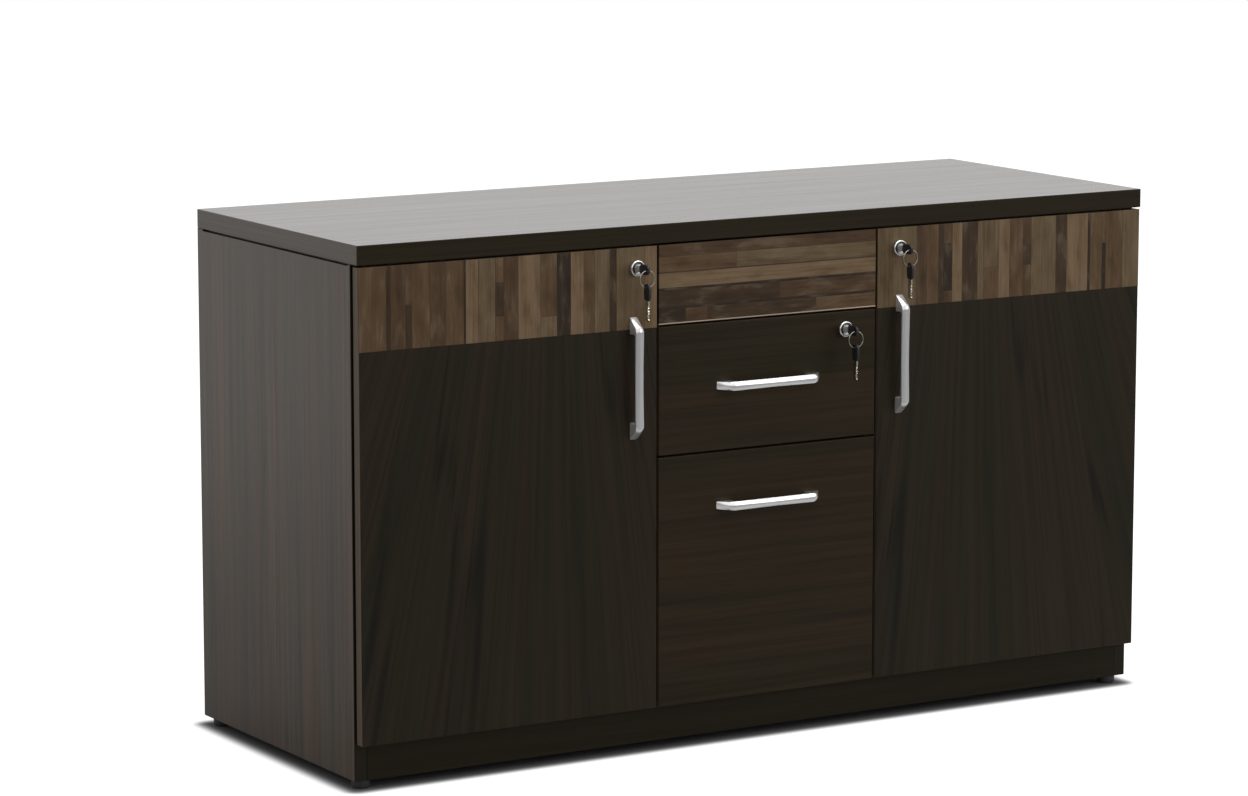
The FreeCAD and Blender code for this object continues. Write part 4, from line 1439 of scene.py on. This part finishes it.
    def build(self, finishes: Finishes) -> list[bpy.types.Object]:
        """Build the key in the lock and the hanging set.

        Args:
            finishes: The credenza's finishes.

        Returns:
            The two pieces.
        """
        low, high = corners(self.lock_node)
        hole_at = np.array([(low[0] + high[0]) / 2, low[1] + self.hole_edge, (low[2] + high[2]) / 2])
        to_root = self.head_length - self.hole_edge
        root = hole_at + self.BACK * to_root
        shoulder = root + self.BACK * self.neck
        half = np.array([self.head_thick / 2, 0.0, self.collar_half])
        collar = eased_block(root - half - self.BACK * self.collar_overlap, shoulder + half,
                             self.collar_easing)
        collar.finish = 1
        key = self.piece(self.lock_node, self.lock_body, "_cut", finishes)
        key.add(self.head(hole_at, self.BACK, -self.DOWN), collar,
                self.blade(shoulder, self.BACK, -self.DOWN, high[1] - shoulder[1],
                           cut=False))
        foot = corners(self.spare_node)[0][2]
        hung = np.array([hole_at[0], hole_at[1], foot + self.blade_length + to_root])
        spare = self.piece(self.spare_node, self.spare_body, "_hung", finishes)
        spare.add(self.head(hung, self.DOWN, self.BACK),
                  self.blade(hung + self.DOWN * to_root, self.DOWN, self.BACK, self.blade_length,
                             cut=True),
                  self.split_ring(hole_at))
        return [key.build(), spare.build()]


# --- Sub-assemblies --------------------------------------------------------------------------------
@dataclass
class Carcass:
    """The standing case: top, sides, plinths, fascia and what is inside."""

    finishes: Finishes
    top_easing: float = 1.0 * MM
    end_limit: float = 0.7
    glide_radius: float = 12.0 * MM
    sole_step: float = 0.8 * MM
    sole_chamfer: float = 2.0 * MM
    sole_inset: float = 0.6 * MM
    glide_shoulder: float = 1.0 * MM
    shoulder_inset: float = 0.4 * MM

    def top(self) -> bpy.types.Object:
        """Build the top, with its edging apart from its face; the face carries a painted sheen and the two
        ends painted light.

        Returns:
            The top.
        """
        piece = Piece("top_board", "carcass", "top_laminate", ["top_panel"],
                      [self.finishes["top_face"], self.finishes["top_edging"], self.finishes["top_end"]])

        def edged(mesh: bpy.types.Mesh) -> None:
            """Give the edges their edging, along the front and back and at the two ends.

            Args:
                mesh: The top's mesh.
            """
            way = np.abs(face_normals(mesh))
            kind = np.where(way[:, 0] > self.end_limit, 2, np.where(way[:, 2] < NEARLY_SQUARE, 1, 0))
            mesh.polygons.foreach_set("material_index", kind.astype(np.int32))

        piece.dress, piece.flat = edged, True
        return piece.add(eased_block(*corners("top_panel"), self.top_easing)).build()

    def sides(self) -> list[bpy.types.Object]:
        """Build the two side panels: their faces lightened with painted light, their edges taped near black
        with painted shade.

        Returns:
            The left and the right panel.
        """
        finishes = [self.finishes["side_board"], self.finishes["side_edging"]]
        return [EasedBoard(f"{hand.word}_side_panel", "carcass", "side_laminate", finishes).build(
            faced=edges_apart(0)) for hand in Hand]

    def fascia(self) -> list[bpy.types.Object]:
        """Build the fixed board over the drawers and its staved sheet.

        Returns:
            The board and the sheet.
        """
        board = EasedBoard("fascia_panel", "carcass", "dark_laminate", [self.finishes["drawer_face"]])
        sheet = StavedSheet("fascia_band", "carcass", self.finishes, Grain.ALONG_Z, FASCIA_BAND,
                            seed=11, taped=True)
        return [board.build(), sheet.build()]

    def feet(self) -> bpy.types.Object:
        """Turn the four glides, each a chamfered disc with a worn sole.

        Returns:
            The glides.
        """
        low, high = corners("floor_glides")
        radius, height = self.glide_radius, high[2] - low[2]
        outline = [(0.0, 0.0), (radius - self.sole_chamfer, 0.0), (radius - self.sole_inset, self.sole_step),
                   (radius, self.sole_chamfer), (radius, height - self.glide_shoulder),
                   (radius - self.shoulder_inset, height), (0.0, height)]
        piece = Piece("floor_glide_feet", "carcass", "glide_plastic", ["floor_glides"],
                      [self.finishes["glide_plastic"]])
        for x in (low[0] + radius, high[0] - radius):
            for y in (low[1] + radius, high[1] - radius):
                piece.add(turned((x, y, low[2]), outline, out=(0, 0, 1)))
        return piece.build()

    def dress_inside(self) -> None:
        """Give the case's remaining nodes their finishes."""
        dress({
            "bottom_panel": "inner_level", "right_partition": "inner_upright",
            "left_partition": "inner_upright", "back_panel": "back_board", "top_rails": "inner_level",
            "plinths": "plinth_board", "shelves": "inner_level", "shelf_pins": "zinc_steel",
            "front_buffers": "buffer_rubber", "lock_strikes": "zinc_steel", "hinge_arms": "zinc_steel",
            "outer_slides": "zinc_steel"}, self.finishes)

    def build(self) -> None:
        """Build the case."""
        self.top()
        self.sides()
        self.fascia()
        self.feet()
        self.dress_inside()


@dataclass
class Door:
    """A hinged door with its staved band, bow handle, lock and keys."""

    hand: Hand
    finishes: Finishes

    def build(self) -> None:
        """Build the door."""
        word = self.hand.word
        body = f"{word}_door"
        EasedBoard(f"{word}_door_panel", body, "dark_laminate",
                   [self.finishes[f"{word}_door_front"], self.finishes["front_edging"]],
                   FRONT_EASING).build(faced=edges_apart(1, FRONT_EDGE_LIMIT))
        runs = LEFT_BAND if self.hand is Hand.LEFT else RIGHT_BAND
        StavedSheet(f"{word}_door_band", body, self.finishes, Grain.ALONG_X, runs,
                    seed=5 + self.hand.value).build()
        BowHandle(f"{word}_door_handle", body, lying=False).build(self.finishes["satin_chrome_upright"])
        CamLock(f"{word}_lock_housing", body).build(self.finishes)
        KeySet(f"{word}_lock_key", f"{word}_door_lock",
               f"{word}_spare_key", f"{word}_door_spare_key").build(self.finishes)
        dress({f"{word}_{node}": "zinc_steel" for node in (
            "hinge_cups", "hinge_pins", "door_handle_screws", "lock_plug")}, self.finishes)


@dataclass
class Drawer:
    """A drawer: its front, box, bow handle and slides."""

    name: str
    finishes: Finishes

    def build(self) -> None:
        """Build the drawer."""
        EasedBoard(f"{self.name}_front", self.name, "dark_laminate",
                   [self.finishes["drawer_face"], self.finishes["front_edging"]],
                   FRONT_EASING).build(faced=edges_apart(1, FRONT_EDGE_LIMIT))
        BowHandle(f"{self.name}_handle", self.name, lying=True).build(self.finishes["satin_chrome_lying"])
        dress({
            f"{self.name}_sides": "inner_deep", f"{self.name}_back": "inner_level",
            f"{self.name}_bottom": "inner_level", f"{self.name}_handle_screws": "zinc_steel",
            f"{self.name}_inner_slides": "zinc_steel", f"{self.name}_middle_slides": "zinc_steel",
        }, self.finishes)


@dataclass
class DrawerLock:
    """The box drawer's lock and keys."""

    finishes: Finishes

    def build(self) -> None:
        """Build the lock."""
        CamLock("drawer_lock_housing", "upper_drawer").build(self.finishes)
        KeySet("drawer_lock_key", "drawer_lock",
               "drawer_spare_key", "drawer_spare_key_set").build(self.finishes)
        dress({"drawer_lock_plug": "zinc_steel", "lower_drawer_file_rails": "file_aluminium"}, self.finishes)


def dress(nodes: dict[str, str], finishes: Finishes) -> None:
    """Give nodes of the model their finishes.

    Args:
        nodes: Finish names by node.
        finishes: The credenza's finishes.
    """
    for node, finish in nodes.items():
        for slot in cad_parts[node].material_slots:
            slot.material = finishes[finish]
        LOG.info("%s: dressed in %s", node, finish)


# --- Studio ----------------------------------------------------------------------------------------
@dataclass(frozen=True)
class Softbox:
    """An oblong lamp: where it hangs, the point it faces, its sides in metres and its watts."""

    name: str
    place: Point
    aim: Point
    sides: Pair
    power: float

    def hang(self) -> None:
        """Hang the lamp with its face turned to its aim."""
        data = bpy.data.lights.new(self.name, "AREA")
        data.shape, data.energy = "RECTANGLE", self.power
        data.size, data.size_y = self.sides
        made = bpy.data.objects.new(self.name, data)
        bpy.context.scene.collection.objects.link(made)
        made.location = self.place
        way = np.array(self.aim) - np.array(self.place)
        tilt = math.atan2(math.hypot(way[0], way[1]), -way[2])
        made.rotation_euler = (tilt, 0.0, math.atan2(way[1], way[0]) - math.pi / 2)


@dataclass
class Studio:
    """The pale floor, the soft lamps, the world and the camera.

    Lengths are in metres, angles in degrees, and tones and strengths shares of white.
    """

    floor_half: float = 9.0
    floor_tone: float = 0.62
    floor_glow: float = 0.8
    mirrored_glow: float = 0.5
    mirrored_span: Pair = (0.6, 3.2)
    shadow_tone: float = 0.2
    shadow_reach: float = 30.0 * MM
    shadow_edge: float = 1.6
    room: float = 0.33
    room_span: Pair = (-1.1, -0.45)
    ambient: float = 0.55
    backdrop_span: Pair = (0.1, 0.6)
    ceiling_span: Pair = (0.0, 0.3)
    camera_place: Point = (-3.1470, -5.0941, 1.3879)
    camera_fall: float = 9.152
    camera_turn: float = 30.931
    sensor: float = 36.0
    lens: float = 130.65
    clip: Pair = (0.1, 60.0)
    lamps: tuple[Softbox, ...] = (
        Softbox("key_softbox", (2.1, -2.9, 1.7), (0.0, -0.2, 0.4), (2.4, 2.4), 24.0),
        Softbox("overhead_softbox", (0.2, -0.5, 2.9), (0.0, 0.0, 0.5), (2.6, 1.4), 26.0))

    def clear_of_shadow(self, sheet: Shading, place: Sequence[Socket]) -> Socket:
        """Find how far a place on the floor is out of the painted shadow round the object's foot.

        The way is measured from the rectangle that the glides stand in, as the root of the sum of
        the squares of how far the place is past it along each axis.

        Args:
            sheet: The floor's tree.
            place: The place on the floor, axis by axis.

        Returns:
            0 under the object to 1 past the shadow.
        """
        low, high = corners("floor_glides")
        squares = []
        for axis in (0, 1):
            middle, reach = float(low[axis] + high[axis]) / 2, float(high[axis] - low[axis]) / 2
            off = sheet.maths("ABSOLUTE", sheet.maths("SUBTRACT", place[axis], middle))
            past = sheet.maths("MAXIMUM", sheet.maths("SUBTRACT", off, reach), 0.0)
            squares.append(sheet.maths("MULTIPLY", past, past))
        away = sheet.maths("SQRT", sheet.maths("ADD", *squares))
        return sheet.maths("POWER", sheet.remap(away, 0.0, self.shadow_reach), self.shadow_edge)

    def floor_finish(self) -> bpy.types.Material:
        """Draw the floor: pale to the camera, with a painted shadow at the foot, brighter behind in
        reflections, darker in front.

        Returns:
            The floor's material.
        """
        sheet = Shading.of_material("studio_floor")
        place = sheet.node("ShaderNodeSeparateXYZ", {0: sheet.place()}).outputs
        light = sheet.node("ShaderNodeLightPath").outputs
        clear = self.clear_of_shadow(sheet, place)
        lift = sheet.maths("MULTIPLY", clear, self.floor_glow)
        behind = sheet.remap(place[1], *self.mirrored_span, 0.0, self.mirrored_glow)
        shown = sheet.maths("ADD", sheet.maths("MULTIPLY", light["Is Camera Ray"], lift),
                            sheet.maths("MULTIPLY", light["Is Glossy Ray"], behind))
        # Painted shadow: to the camera the floor's tone darkens towards the glides.
        seen = sheet.remap(clear, 0.0, 1.0, self.shadow_tone, self.floor_tone)
        felt = sheet.remap(place[1], *self.room_span, self.room, self.floor_tone)
        tone = sheet.either(light["Is Camera Ray"], seen, felt)
        colour = sheet.node("ShaderNodeCombineColor", {0: tone, 1: tone, 2: tone}).outputs[0]
        matt = sheet.node("ShaderNodeBsdfDiffuse", {"Color": colour})
        glow = sheet.node("ShaderNodeEmission", {"Color": (1, 1, 1, 1), "Strength": shown})
        return sheet.close(sheet.node("ShaderNodeAddShader", {0: matt.outputs[0], 1: glow.outputs[0]}))

    def floor(self) -> None:
        """Lay the floor."""
        h = self.floor_half
        mesh = bpy.data.meshes.new("studio_floor")
        mesh.from_pydata([(-h, -h, 0), (h, -h, 0), (h, h, 0), (-h, h, 0)], [], [(0, 1, 2, 3)])
        mesh.materials.append(self.floor_finish())
        made = bpy.data.objects.new("studio_floor", mesh)
        bpy.context.scene.collection.objects.link(made)

    def world(self) -> None:
        """Set a white backdrop with a dim room on the camera's side, and an even soft fill."""
        world = bpy.data.worlds.new("studio_world")
        bpy.context.scene.world = world
        sheet = Shading(world, "ShaderNodeOutputWorld")
        look = sheet.node("ShaderNodeTexCoord").outputs["Generated"]
        way = sheet.node("ShaderNodeSeparateXYZ", {0: look}).outputs
        light = sheet.node("ShaderNodeLightPath").outputs
        bright = sheet.maths("MAXIMUM", sheet.remap(way[1], *self.backdrop_span),
                             sheet.remap(way[2], *self.ceiling_span))
        facing = sheet.maths("MULTIPLY_ADD", bright, 1.0 - self.room, self.room)
        mirrored = sheet.maths("MAXIMUM", light["Is Glossy Ray"], light["Is Transmission Ray"])
        fill = sheet.either(mirrored, facing, self.ambient)
        strength = sheet.either(light["Is Camera Ray"], 1.0, fill)
        sheet.close(sheet.node("ShaderNodeBackground", {"Color": (1, 1, 1, 1), "Strength": strength}))

    def camera(self) -> None:
        """Stand the camera at the left of the front, looking slightly down."""
        data = bpy.data.cameras.new("view")
        data.sensor_width, data.lens = self.sensor, self.lens
        data.clip_start, data.clip_end = self.clip
        made = bpy.data.objects.new("view", data)
        bpy.context.scene.collection.objects.link(made)
        made.location = self.camera_place
        made.rotation_euler = (math.radians(90.0 - self.camera_fall), 0.0, math.radians(-self.camera_turn))
        bpy.context.scene.camera = made

    def build(self) -> None:
        """Set up the studio."""
        self.floor()
        self.world()
        for softbox in self.lamps:
            softbox.hang()
        self.camera()
        bpy.context.scene.view_settings.view_transform = "Standard"


def main() -> None:
    """Build the credenza's sub-assemblies in order, then the studio."""
    logging.basicConfig(level=logging.INFO, format="%(name)s %(message)s")
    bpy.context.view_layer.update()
    finishes = Finishes()
    Carcass(finishes).build()
    for hand in Hand:
        Door(hand, finishes).build()
    for name in ("upper_drawer", "lower_drawer"):
        Drawer(name, finishes).build()
    DrawerLock(finishes).build()
    Studio().build()


if __name__ == "__main__":
    main()
